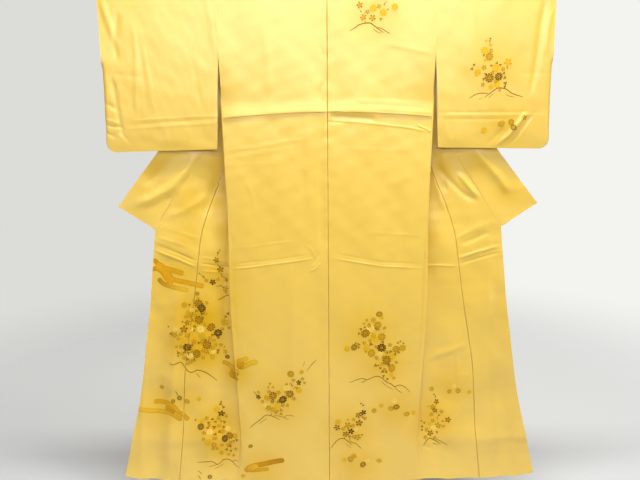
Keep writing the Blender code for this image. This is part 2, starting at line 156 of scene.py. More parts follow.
# How much faster than its run the collar turns out over the shoulder, and where its gap starts to widen
COLLAR_TURN_RATE = 2.2
TWIST_START = 0.75
COLLAR_LEAN = [
    (0.00, (0.00, -0.15, 1.00)),
    (0.25, (0.10, -0.15, 1.00)),
    (0.50, (0.45, -0.12, 0.85)),
    (0.70, (0.70, -0.03, 0.72)),
    (1.00, (0.80, 0.05, 0.60)),
]
NECK_EDGE = [(NECK_DROP, 0.0), (0.018, 0.040), (0.010, 0.066), (0.0, 0.080)]
NECK_DROPS = (0.008, 0.016, 0.023)
NECK_FINER = 4
COLLAR_FINER = 3

# Turned-in seam edges: back from the edge, and in below the face
SEAM_TURN = ((0.0028, 0.0), (0.0016, 0.0001), (0.0010, 0.0007), (0.0009, 0.0018), (0.0004, 0.0046))
SEAM_TURN_ROOM = 0.0030

# Sleeve
SLEEVE_TOP_DROP = 0.008
SLEEVE_BOTTOM_DROP = 0.489
SLEEVE_INNER = [(0.00, 0.3123), (0.21, 0.3118), (0.32, 0.3190), (0.489, 0.3290)]
SLEEVE_OUTER = [(0.00, 0.6450), (0.30, 0.6500), (0.489, 0.6570)]
SLEEVE_CORNER = 0.028
SLEEVE_OUTER_SAG = 0.006
WRIST_DROP = 0.23
WRIST_CLOSING = 0.03
SLEEVE_NEAR_DEPTH = [
    (0.00, -SHOULDER_RADIUS), (0.12, -0.0130), (0.21, -0.0120), (0.35, -0.0085), (0.44, -0.0050), (0.474, -0.0025),
    (0.489, -0.00105),
]
SLEEVE_FAR_DEPTH = [
    (0.00, SHOULDER_RADIUS), (0.12, 0.0115), (0.21, 0.0090), (0.35, 0.0060), (0.44, 0.0035), (0.474, 0.0020),
    (0.489, 0.00105),
]
SLEEVE_SEAM_DEPTH = 0.00105
SLEEVE_SEAM_REACH = 0.014

# Where the lining is dyed yellow: the skirt below a drop, and the cuffs
SKIRT_LINING_DROP = 0.93
CUFF_LINING_X = 0.60
CUFF_LINING_DROP = SLEEVE_BOTTOM_DROP + 0.02

# Grid spacing: usual step, then finer bands (drop, reach, step) about creases that run across
ROW_STEP = 0.0064
FINE_ROWS = [(TUCK_DROP, 0.012, 0.0012), (0.430, 0.030, 0.0030), (0.840, 0.050, 0.0019), (0.765, 0.020, 0.0034)]
SLEEVE_FINE_ROWS = [(0.400, 0.030, 0.0026)]
# Steps of a front's level cut: band, bend, hidden strip, bend and wing
CUT_STEPS = (2, 8, 16, 8, 30)
ROUGH_STEPS = (1, 4, 1, 4, 1)
FIRST_WING = sum(CUT_STEPS[:-1])
OKUMI_STEPS = 34
SLEEVE_STEPS = 64
SLEEVE_SEAM_STEPS = 8
SHARP_ANGLE = math.radians(50.0)
# Distances that count as none: between points, and as a divisor
CLOSE = 1e-6
TINY = 1e-12
FULL_TURN = 2.0 * math.pi

# Camera, as the photograph was taken
CAMERA_PLACE = (-0.025, -1.689, -0.421)
CAMERA_PITCH = math.radians(11.6)
CAMERA_ROLL = math.radians(-0.5)
FOCAL_PIXELS = 560.0
FRAME_PIXELS = 640.0
FRAME_LINES = 480.0
SENSOR_WIDTH = 36.0
# Depth of what the photograph shows: back and sleeves, and the wings
BACK_PLANE = -0.012
WING_PLANE = 0.008

# Creases as they lie in the photograph: height (a trough below 0), half width, both in metres,
# then the places they run through, in its pixels
BACK_CREASES = [
    (0.0010, 0.0026, (226, 270), (250, 267.5), (274, 264), (300, 260.5), (320, 257.5)),
    (-0.0005, 0.0033, (228, 265), (274, 260), (314, 254)),
    (0.0005, 0.0026, (228, 250), (264, 245), (298, 240.5)),
    (0.0010, 0.0026, (330, 257.5), (356, 262), (381, 266), (426, 269)),
    (-0.0005, 0.0033, (332, 253), (381, 262), (424, 264.5)),
    (0.0006, 0.0026, (366, 232), (394, 234.5), (426, 236)),
    (0.0013, 0.0023, (316, 259), (312, 250), (306, 245)),
    (-0.0011, 0.0023, (320, 252), (317, 257), (312, 266)),
    (0.0011, 0.0023, (321, 262), (317, 268), (309, 272)),
    (0.0011, 0.0026, (334, 106), (341, 104.5), (364, 101), (390, 102), (436, 106.5)),
    (0.0008, 0.0026, (360, 109), (388, 109), (436, 113.5)),
    (-0.0030, 0.0080, (328, 117), (345, 116.5), (378, 119)),
    (0.0010, 0.0026, (326, 119.5), (368, 123), (409, 127.6), (438, 134)),
    (0.0013, 0.0026, (416, 124), (424, 128), (436, 133)),
    (-0.0011, 0.0026, (326, 122), (338, 122.5), (344, 122)),
    (0.0008, 0.0026, (218, 152), (257, 146.7), (289, 141), (304, 139)),
    (0.0005, 0.0030, (218, 160), (262, 153), (306, 146)),
    (0.0004, 0.0026, (218, 166), (250, 164), (280, 163)),
    (0.0004, 0.0030, (332, 148), (380, 150), (432, 150)),
    (-0.0024, 0.0110, (322, 114), (321, 160), (322, 215), (322, 262)),
    (0.0014, 0.0120, (308, 117), (308, 170), (310, 225)),
    (-0.0013, 0.0030, (319, 44), (321, 50), (324, 58)),
    (-0.0016, 0.0033, (324, 80), (321, 90), (320, 98), (325, 106)),
    (0.0008, 0.0033, (318, 78), (316, 90), (316, 104)),
    (0.0009, 0.0060, (384, 43.5), (410, 48), (436, 55)),
    (0.0010, 0.0100, (262, 20), (268, 60), (270, 105)),
    (0.0010, 0.0026, (398, 359), (408, 361.5), (422, 363)),
    (0.0007, 0.0026, (402, 325), (410, 326.5), (424, 329)),
    (0.0006, 0.0026, (408, 330), (413, 335), (418, 343)),
    (0.0007, 0.0060, (246, 180), (252, 195), (255, 212)),
    (-0.0010, 0.0140, (318, 290), (317, 340), (316, 390)),
    (0.0010, 0.0160, (296, 270), (292, 340), (290, 430)),
    (0.0008, 0.0150, (362, 290), (366, 350), (366, 430)),
    (-0.0010, 0.0180, (396, 180), (400, 215), (402, 250)),
]
WING_CREASES = [
    (0.0008, 0.0031, (152, 223), (162, 226), (180, 233), (201, 240.5)),
    (0.0007, 0.0030, (153, 236), (176, 243), (197, 251)),
    (0.0018, 0.0036, (152, 249), (160, 252.5), (178, 259.5), (198, 268)),
    (-0.0014, 0.0036, (152, 243), (160, 246.5), (178, 253.5), (198, 262)),
    (0.0008, 0.0030, (199, 257), (214, 260), (232, 264)),
    (-0.0012, 0.0036, (199, 263), (214, 266), (234, 269.5)),
    (0.0010, 0.0035, (200, 271), (216, 273), (234, 275)),
    (0.0048, 0.0120, (198, 148), (188, 168), (172, 187), (150, 200), (130, 205)),
    (-0.0030, 0.0130, (178, 150), (163, 168), (142, 186)),
    (0.0014, 0.0110, (210, 190), (198, 203), (182, 212), (164, 217)),
    (-0.0025, 0.0140, (222, 170), (210, 195), (203, 220)),
    (-0.0020, 0.0100, (226, 240), (224, 300), (226, 360)),
    (0.0018, 0.0060, (428, 144), (430, 154), (434, 172), (440, 193), (444, 214)),
    (-0.0030, 0.0120, (436, 150), (442, 172), (447, 196)),
    (0.0046, 0.0130, (470, 145), (484, 160), (500, 178), (513, 196)),
    (-0.0024, 0.0090, (437, 164), (451, 181), (464, 194), (479, 202)),
    (0.0036, 0.0080, (459, 173), (469, 186), (479, 198)),
    (-0.0026, 0.0120, (496, 148), (512, 168), (527, 190)),
    (0.0011, 0.0031, (420, 266.5), (440, 266), (458, 266)),
    (0.0018, 0.0042, (456, 259), (478, 252), (502, 245)),
    (-0.0011, 0.0042, (457, 265), (479, 258), (502, 252)),
    (0.0013, 0.0058, (454, 240), (476, 229), (499, 218)),
    (-0.0018, 0.0080, (459, 245), (475, 239), (491, 231)),
    (0.0022, 0.0080, (422, 362), (440, 355.5), (456, 348), (470, 342)),
    (0.0019, 0.0042, (455, 340), (457, 365), (459, 392), (463, 425)),
    (0.0010, 0.0024, (460, 356), (466, 355), (474, 353)),
    (0.0010, 0.0024, (461, 375), (467, 374.5), (475, 374)),
    (0.0006, 0.0028, (456, 316), (466, 313), (478, 309)),
    (-0.0027, 0.0038, (411, 458), (416, 453), (424, 446), (434, 448)),
    (0.0019, 0.0042, (411, 450), (419, 443), (430, 441)),
    (0.0030, 0.0140, (489, 260), (488, 330), (490, 400), (494, 478)),
    (0.0030, 0.0150, (178, 262), (176, 330), (172, 400), (168, 480)),
    (0.0030, 0.0110, (150, 280), (146, 340), (143, 400), (140, 480)),
    (-0.0020, 0.0130, (505, 400), (509, 440), (512, 480)),
]
SLEEVE_CREASES = [
    (0.0022, 0.0085, (101, -4), (104, 10), (110, 27), (117, 50)),
    (-0.0022, 0.0068, (119, 8), (117, 20), (114, 40), (117, 64)),
    (0.0014, 0.0059, (130, 18), (134, 34), (136, 50), (136, 122)),
    (-0.0008, 0.0051, (138, 38), (141, 60), (147, 112)),
    (0.0008, 0.0043, (140, 36), (146, 64), (155, 116)),
    (-0.0008, 0.0030, (98, 76.5), (118, 75), (145, 77)),
    (0.0004, 0.0034, (124, 121.5), (154, 119), (226, 115)),
    (-0.0004, 0.0034, (124, 126), (154, 123), (226, 118.5)),
    (0.0004, 0.0034, (116, 130), (154, 127), (222, 123)),
    (-0.0034, 0.0060, (111.5, 74), (114, 92), (117, 110), (119, 122), (122.5, 139)),
    (-0.0016, 0.0056, (103, 103), (109, 105), (116, 110)),
    (-0.0010, 0.0036, (98, 123), (112, 127), (124, 127.5)),
    (0.0009, 0.0040, (98, 118), (110, 121), (120, 124)),
    (-0.0017, 0.0038, (98, 129), (108, 134), (116, 138)),
    (-0.0011, 0.0038, (118, 131), (123, 136), (129, 143)),
    (-0.0008, 0.0068, (192, 56), (197, 85), (202, 112)),
    (0.0006, 0.0043, (112, 7), (145, 4), (180, 2)),
    (0.0009, 0.0068, (205, -10), (211, 25), (216, 60)),
    (0.0006, 0.0059, (165, 126), (166, 136), (167, 152)),
    (-0.0030, 0.0076, (546, -6), (541, 25), (537, 60), (531, 98)),
    (0.0018, 0.0059, (552, 8), (548, 30), (545, 56)),
    (0.0034, 0.0060, (488, 156), (499, 145), (511, 133.5), (522, 119.5), (530, 109)),
    (-0.0018, 0.0046, (503, 152), (513, 142), (523, 129), (536, 110)),
    (-0.0010, 0.0064, (482, 151), (494, 139), (506, 127)),
    (-0.0004, 0.0034, (432, 112), (490, 112), (552, 112)),
    (0.0004, 0.0034, (432, 115.5), (490, 115), (552, 115)),
    (-0.0004, 0.0034, (440, 119), (480, 119.5), (512, 119)),
    (-0.0006, 0.0034, (522, 73), (536, 73), (552, 73.5)),
    (0.0006, 0.0085, (470, -6), (474, 20), (472, 46)),
    (0.0007, 0.0076, (444, 120), (448, 134), (450, 152)),
]
# 1 over the share of a crease's length in which it fades at either end
CREASE_FADE = 5.0
# Creases start this far from the rod, the chest's middle and the collar's top, and come in over the fade
TOP_CALM = 0.012
TOP_FADE = 0.03
CHEST_CALM = 0.10
CHEST_FADE = 0.04
COLLAR_CALM = 0.03
COLLAR_FADE = 0.05
# Columns over which the hidden front's creases give way to the wing's, and the calm edge at a sleeve's bottom
WING_BLEND_STEPS = 6.0
SLEEVE_CALM = 0.03
# Slow and quick swells of the cloth: seed, wavelength and height in metres, share of upright crests
BACK_SWELLS = [(11, 0.17, 0.0012, 0.85), (12, 0.07, 0.0003, 0.2)]
WING_SWELLS = [(21, 0.17, 0.0012, 0.6), (22, 0.06, 0.0003, 0.2)]
SLEEVE_SWELLS = [(31, 0.14, 0.0006, 0.6), (32, 0.05, 0.0002, 0.2)]
PUCKERS = (13, 0.034, 0.0005, 0.0)
PUCKER_REACH = 0.011
HIDDEN_SWELL = (0.15, 0.0010, 0.6)
DRIFT_WAVES = 9
DRIFT_SPREAD = (0.6, 1.6)
# Stray creases out of sight: how many, their tilt, and the ranges of their sizes in metres
STRAY_COUNT = 14
STRAY_TILT = 0.25
STRAY_REACH = (0.04, 0.12)
STRAY_BEND = 0.01
STRAY_HEIGHT = (-0.0015, 0.0018)
STRAY_WIDTH = (0.005, 0.012)
# Where they lie, as x and drop of two corners, with their seeds and the share of them in the hidden front
HIDDEN_FRONT = ((0.15, 0.2), (0.3, 1.5))
HIDDEN_SLEEVE = ((0.32, 0.05), (0.64, 0.47))
FRONT_SEED = 40
SLEEVE_SEED = 50
HIDDEN_SHARE = 0.4

# Dyes of the silk, and of the clouds about the sprays; the cloud dye also paints shade on the wings beneath the
# sleeves and beside the back
GROUND = "#E9C450"
GROUND_DEEP = "#E4BB43"
HALO_AND_SHADE_DYE = "#D6A50E"
# Shine of the plain silk, and of silk that holds the most golden dye or painted shade
SILK_SHINE = 0.66
HALO_AND_SHADE_SHINE = 0.12
LINING_CREAM = "#F4E6BE"
LINING_YELLOW = "#EDC75C"
CEDAR_PALE = "#B98A58"
CEDAR_DARK = "#8A5D34"
# Sizes in the materials, in metres: crepe grain and its rumples, clouds in the yellow, unevenness of painted dye,
# and the cedar's grain and tone
CREPE_GRAIN = 0.0012
CREPE_RUMPLE = 0.022
SILK_CLOUD = 0.35
DYE_CLOUD = 0.006
CEDAR_GRAIN = 0.0016
CEDAR_TONE = 0.02
# Studio
# The wall behind, painted darker to the left than to the right: painted shade
WALL_LEFT = "#DCDCD9"
WALL_RIGHT = "#F3F3F0"
FLOOR_GREY = "#BEBEBC"
# Dyes of the design: petal tips, then the petals' middle
DYES = {
    "cream": ("#E7BE4C", "#EBC75A"),
    "bright": ("#D29C08", "#E0AE14"),
    "orange": ("#B47C06", "#D29C0A"),
    "gold": ("#AA7C04", "#CFA20C"),
    "brown": ("#805400", "#B88C02"),
    "olive": ("#5A4200", "#A88004"),
    "dark": ("#341C00", "#8E6600"),
}
HILL_DYE = "#805A02"
MIST_DARK = "#B87E04"
MIST_DEEP = "#D4980A"
MIST_DYE = "#D29E14"
MIST_PALE = "#E0B22A"
# Tone of a mist band's rim, and the share of its width that its paler middle takes
MIST_RIM = 0.84
MIST_MIDDLE = 0.68

# Soft lights: name, place, aim, width and height, watts
LIGHTS = [
    ("key", (0.06, -1.35, 0.45), (0.0, 0.0, -0.05), (1.6, 0.25), 11.0),
    ("front_wide", (0.0, -2.0, 0.05), (0.0, 0.0, -0.25), (2.8, 0.5), 18.6),
    ("front_left", (-2.0, -1.7, -1.0), (0.0, 0.0, -1.3), (0.9, 1.0), 7.2),
    ("front_right", (2.0, -1.7, -1.0), (0.0, 0.0, -1.3), (0.9, 1.0), 5.4),
    ("ceiling", (0.0, -0.75, 3.2), (0.0, 0.0, -0.6), (3.0, 0.4), 210.0),
    ("upper_left", (-1.7, -0.8, 2.1), (0.0, 0.0, -0.7), (1.0, 0.6), 10.0),
    ("upper_right", (1.7, -0.8, 2.1), (0.0, 0.0, -0.7), (1.0, 0.6), 72.0),
    ("behind", (0.0, 1.9, -0.9), (0.0, 0.0, -0.6), (1.6, 0.8), 14.0),
]
# The floor: half its width, its depth below the hem, and where it starts and ends to fade
FLOOR_REACH = 6.0
FLOOR_ROOM = 0.10
FLOOR_FADE = (0.5, 3.2)


# Flowers by cloth, kind and dye: x and y in the photograph's pixels, then width in them
FLOWERS = {
    "back": {
        ("plain", "cream"): [
            (287.2, 388, 8), (265.5, 405.4, 6.5), (370.7, 328, 9.5), (379.6, 354.8, 8.5), (360.3, 407.4, 6),
            (355.8, 428.8, 6), (394.4, 401, 6.5), (367.3, 460.7, 6.5)],
        ("plain", "bright"): [
            (373.3, 8.5, 8), (383, 12.5, 8), (394.7, 7.1, 7), (298.5, 389.7, 8), (277.4, 406, 7), (347.1, 348.5, 6.5),
            (366.3, 347.2, 8), (375.8, 339.5, 7), (391.8, 356.8, 8.5), (391, 375, 5), (381.9, 317.9, 4),
            (338, 421.5, 7), (381.3, 405.5, 5), (413.8, 413.5, 5.5), (344.3, 459.7, 5)],
        ("plain", "gold"): [
            (267, 397.8, 7), (272.5, 409.2, 6), (366.6, 319.8, 4), (373.3, 319.8, 6), (373.3, 335.7, 6),
            (402.6, 348.2, 7.5), (382.2, 363.8, 5), (258.4, 392.4, 4), (301.5, 371.8, 5), (374, 410.6, 6),
            (353.9, 455.3, 6), (379, 460.7, 6)],
        ("wheel", "gold"): [(390.9, 408.4, 6), (406.8, 414.1, 6.5), (350.4, 458.5, 6.5)],
        ("plum", "gold"): [
            (369, 325.5, 4.5), (384.5, 328, 4), (386.5, 352, 5), (376.5, 357.5, 5), (370, 340, 4.5),
            (383.5, 357, 4.5), (396.5, 362.5, 4), (394, 378, 3.5), (364, 342.5, 4), (278.5, 392.5, 5),
            (286.5, 392, 4.5), (293.5, 380, 4), (287.5, 405, 4), (262.5, 401.5, 4), (302.5, 378.5, 4),
            (353.5, 419, 4), (353, 436, 4), (343, 428.5, 4), (379, 6.5, 5), (367.5, 12, 4.5), (372.4, 18, 7),
            (268.5, 407.6, 6), (282.8, 404.9, 4), (347.8, 425, 8), (357.4, 436.5, 7)],
        ("plum", "orange"): [
            (390, 345, 4.5), (384.5, 369.5, 4.5), (375.8, 346.5, 4.5), (277, 411, 4), (294, 398.5, 4.5),
            (269, 391.5, 4.5), (353, 425, 4.5), (365, 418, 4), (363.2, 17.4, 7), (359.6, 5.1, 7)],
        ("double", "gold"): [
            (290.7, 373.7, 7.5), (377.7, 324.9, 8), (381.6, 336.7, 8), (371.4, 352.6, 9), (391.8, 368.2, 9),
            (396.2, 349.4, 8)],
        ("double", "brown"): [
            (290, 393.8, 8.5), (273, 395.4, 9), (365.3, 332.9, 9.5), (354.1, 346.9, 7.5), (386.7, 360, 10)],
        ("plum", "brown"): [
            (272.5, 401, 4.5), (358.4, 414.8, 6.5), (359, 422.4, 7.5), (337, 427.2, 7), (345.6, 433.6, 6.5)],
        ("wheel", "brown"): [(379.3, 314, 7)],
        ("bud", "gold"): [
            (304.5, 382.6, 3.4), (286.6, 384, 3.2), (290.7, 383.5, 3), (292.3, 385.3, 3), (276, 412.2, 3.8),
            (281, 409.7, 3.8), (281, 413.5, 3.6), (270, 383.5, 3.2), (268.2, 387, 3), (273, 387, 3), (364, 323.3, 3),
            (368.8, 323.6, 3), (365.9, 351, 3.5), (347.8, 419.2, 2.6), (360.8, 11.4, 2.4), (365.4, 21.6, 2.2),
            (380.8, 19.2, 3.4), (384.6, 4.6, 2.4), (387.8, 9.6, 2.2)],
        ("bud", "brown"): [
            (376.1, 328.4, 3.5), (378.4, 329.2, 2.5), (360.8, 328.7, 3.2), (358.9, 333.2, 3.2), (364.7, 326.8, 2.6),
            (382.8, 341.8, 3.6), (358.6, 344, 3.6), (358.6, 346.9, 3), (355.7, 342.7, 2.2), (371, 343.7, 4.2),
            (397.8, 343, 2.6), (400.4, 341.5, 2.6), (403.6, 343.4, 2.2), (390.5, 351.7, 3.6), (387.6, 352.9, 2.6),
            (398.8, 352.6, 3), (395.3, 354.5, 3), (388.6, 365, 3.5), (375.5, 365, 3.8), (378.4, 365, 2.4),
            (380.3, 367.9, 3.2), (382.5, 371.4, 3.6), (386.3, 371.7, 3.2), (383.5, 375.9, 3.4), (387.3, 378.8, 3.2),
            (360.9, 403.3, 2.4), (363.1, 404.9, 2.4), (362.5, 416.6, 2.4), (349.4, 435.8, 3), (361.9, 434.2, 2.6),
            (277.8, 401.5, 3), (296.8, 388, 2.4)],
        ("double", "dark"): [(282.8, 399.4, 9.5), (381.6, 347.5, 9.5)],
        ("plum", "dark"): [(298.8, 382.4, 6.3), (258.4, 397, 5.8), (363.1, 412.2, 7), (351, 430.7, 6.5)],
        ("wheel", "olive"): [(250.5, 446.5, 5), (396.3, 406.8, 7), (362.8, 463.9, 6.8)],
    },
    "wing_left": {
        ("plain", "cream"): [
            (175.8, 329, 5.5), (191.1, 329, 6), (200.7, 329.3, 9), (191.8, 310.5, 5), (189.9, 355.5, 8),
            (213.1, 352.6, 6.5), (228, 428.3, 6.5), (210, 430.8, 7)],
        ("plain", "bright"): [
            (189.2, 334, 8), (182.8, 339.8, 7), (193.5, 338, 6.5), (198.8, 347.5, 8.5), (209, 320.7, 4.5),
            (216.6, 409.6, 7), (202.3, 420.2, 7), (209.2, 440.8, 9), (199, 398.9, 5)],
        ("plain", "gold"): [
            (188.3, 312.4, 5), (224.3, 323.2, 8.5), (202, 336, 8.5), (212.2, 357, 6.5), (188, 363.4, 4),
            (182.2, 353.8, 4.5), (198.1, 298.7, 4), (234.9, 434.9, 7), (221.7, 452, 5), (229, 453.6, 4)],
        ("plum", "gold"): [
            (194.5, 300.5, 4.5), (206.5, 303, 4), (190, 316, 4.5), (195.5, 315.5, 4.5), (187, 335.5, 5),
            (180.5, 334, 4.5), (204.5, 324.5, 4.5), (213.5, 341, 4.5), (202.5, 341.5, 5), (192, 350.5, 5),
            (181, 346.5, 4.5), (203.5, 351, 4.5), (212.5, 348.5, 4.5), (220.5, 346, 4.5), (228.5, 328.5, 4),
            (222, 330, 4), (178.5, 338.5, 4), (186, 316.5, 4), (218.5, 418.5, 4.5), (207, 417.5, 4.5),
            (204.5, 431.5, 4.5), (222.5, 431.5, 5), (231, 441.5, 4.5), (214.5, 437, 4.5), (226, 416.5, 4),
            (236, 448, 4), (204, 437.5, 4), (222, 444.5, 4.5), (213.5, 447.5, 4), (174.9, 334.4, 6.5),
            (225, 352.6, 5), (206.2, 280.9, 4.5), (217.4, 280.3, 3.5), (225, 289.4, 6.5)],
        ("wheel", "gold"): [(184.4, 304.8, 5.8), (186.9, 401.1, 6), (161.2, 388, 4.8), (214.4, 443.7, 6)],
        ("plum", "orange"): [
            (205.5, 313.5, 4.5), (194, 341.5, 5), (203, 357.5, 4.5), (184, 358, 4), (215.5, 345.5, 4.5),
            (209.5, 338.5, 4.5), (176.5, 346.5, 3.5), (219, 426, 4.5), (209.5, 424.5, 4), (228.5, 444.5, 4.5),
            (217.5, 447.5, 4), (225.3, 292.8, 4.5), (190.8, 361.5, 5)],
        ("plum", "brown"): [
            (184.1, 329, 8), (187.3, 322.6, 6), (215.9, 260.6, 6.3), (219.8, 270.3, 6.8), (225.9, 280.9, 4.5)],
        ("double", "brown"): [
            (198.8, 304.1, 9.5), (198.8, 320, 9), (210.9, 327.7, 9.5), (207, 344.9, 9.5), (196.9, 353.5, 9.5),
            (229.8, 434.9, 7.5)],
        ("wheel", "brown"): [(173.3, 400.8, 5), (197.2, 293.6, 4.2)],
        ("bud", "orange"): [(233.8, 454.3, 3.8), (207.4, 352.2, 5), (216.6, 437, 3.2)],
        ("bud", "brown"): [
            (202, 313.7, 4.2), (196.2, 311.1, 3.2), (202.6, 318.1, 3.5), (192.4, 320.7, 3.2), (189.5, 304.8, 2.8),
            (194.6, 326.4, 3.4), (194.3, 330.3, 3), (212.2, 335.4, 3.6), (217.9, 338.5, 3.6), (225.2, 317.5, 3.2),
            (227.6, 314.3, 3.2), (171, 333.4, 3.6), (168.5, 326.4, 2.4), (192.4, 344.9, 3.4), (184.8, 351.9, 3.4),
            (188.6, 353.2, 3.6), (178.4, 352.6, 3.8), (178.4, 355.7, 2.6), (198.8, 342.7, 3.5), (217.9, 351, 3.5),
            (217.3, 353.2, 3), (194.3, 359.6, 3.5), (187.3, 359.3, 3.2), (182.5, 321.6, 2.6), (205.6, 340, 3),
            (220.2, 404.8, 3.4), (221, 402.4, 2.4), (223.2, 407.7, 3.4), (195.7, 419.5, 2.4), (208.9, 422, 3.6),
            (212.5, 419, 3.6), (215.5, 421.7, 3.2), (208, 426.8, 3), (224.3, 422.4, 3.4), (223.5, 427.2, 3.2),
            (221, 421.7, 2.6), (219.5, 431.6, 3.6), (215.5, 433.4, 3.8), (237, 438.9, 3.4), (234, 439.9, 2.8),
            (226.8, 448.8, 3.6), (230.5, 445, 3.6), (231.2, 449.9, 3.4), (214.4, 426.8, 4.6), (217.4, 253.3, 2.4),
            (219.2, 250.9, 1.8), (203.4, 276.7, 2.4), (199, 273.4, 1.6)],
        ("double", "olive"): [(201.2, 425.7, 7.6), (227.2, 357.2, 5.5)],
        ("wheel", "olive"): [(210.3, 475.2, 5), (179.6, 397.8, 5.4)],
        ("double", "dark"): [(201.6, 308.3, 8.6), (217.6, 333.8, 8.6), (187.3, 347.1, 8.8), (225, 438.2, 8)],
        ("plum", "dark"): [(212.3, 282.7, 6.5), (221.3, 414, 7.6)],
    },
    "wing_right": {
        ("plain", "cream"): [(433.4, 427.8, 6.5), (454, 386, 6)],
        ("plain", "bright"): [(428.3, 407, 4), (429.2, 423.6, 4), (469.2, 391.9, 4.5)],
        ("plain", "gold"): [(431.8, 389.6, 5.5)],
        ("plum", "gold"): [
            (431.5, 415, 4.5), (433, 421, 4.5), (441.5, 411.5, 4), (443, 425.5, 4), (426.5, 429.5, 4.5),
            (434.5, 437.5, 4), (438, 425.2, 6.5)],
        ("wheel", "orange"): [(449.4, 391.5, 5)],
        ("plum", "orange"): [(433.1, 407.5, 6), (424.9, 436.5, 4.5)],
        ("wheel", "gold"): [(457.9, 390.3, 5.8)],
        ("plum", "brown"): [(436.8, 402.5, 6.2), (435, 410.8, 6.2), (447.6, 418.8, 6.4), (430.2, 433, 6.4)],
        ("bud", "brown"): [
            (439.1, 415.6, 2.4), (442.5, 420.8, 2.4), (421.9, 425.9, 3), (421.7, 429.1, 2.8), (424.2, 422.4, 2.6),
            (421.4, 420.4, 2), (434.5, 395.4, 2), (435.9, 397.4, 2), (436.8, 431.9, 3)],
    },
    "sleeve_right": {
        ("plain", "bright"): [
            (484.6, 50.3, 8), (495.8, 68.2, 9), (477.6, 72.6, 8), (497.1, 84.1, 8), (484.6, 130.3, 6.5),
            (486.2, 40.7, 3), (490.4, 44.9, 4), (491.3, 86.7, 6)],
        ("plum", "bright"): [(507.9, 62.4, 8.5), (485, 60.2, 3.4)],
        ("plum", "gold"): [
            (484, 67.5, 5), (492.5, 72.5, 4.5), (503, 69, 4.5), (491, 50.5, 4.5), (496, 81.5, 4), (483, 84.5, 4.5),
            (500, 90, 3.5), (524.8, 117.3, 5.5)],
        ("double", "gold"): [(489.4, 56.4, 8), (511.7, 122, 7)],
        ("double", "brown"): [(489.4, 77.8, 9.5)],
        ("wheel", "gold"): [(501.9, 123.6, 7.5)],
        ("bud", "brown"): [
            (490.4, 38.5, 2.4), (489.7, 41, 2.2), (483.7, 55.4, 2.6), (491.3, 65.6, 3), (496.8, 63, 3),
            (500.3, 64.7, 3.2), (474.1, 64.7, 3), (471.9, 68.8, 3.2), (485.6, 74, 3.2), (483.7, 79, 3.2),
            (504.1, 73, 3.2), (504.9, 77.6, 3.4), (505.4, 83.2, 4), (505, 86.6, 3), (507.3, 67.8, 2.2)],
        ("double", "olive"): [(498.7, 76.5, 8.5)],
        ("wheel", "olive"): [(514, 127.5, 6.5)],
    },
}
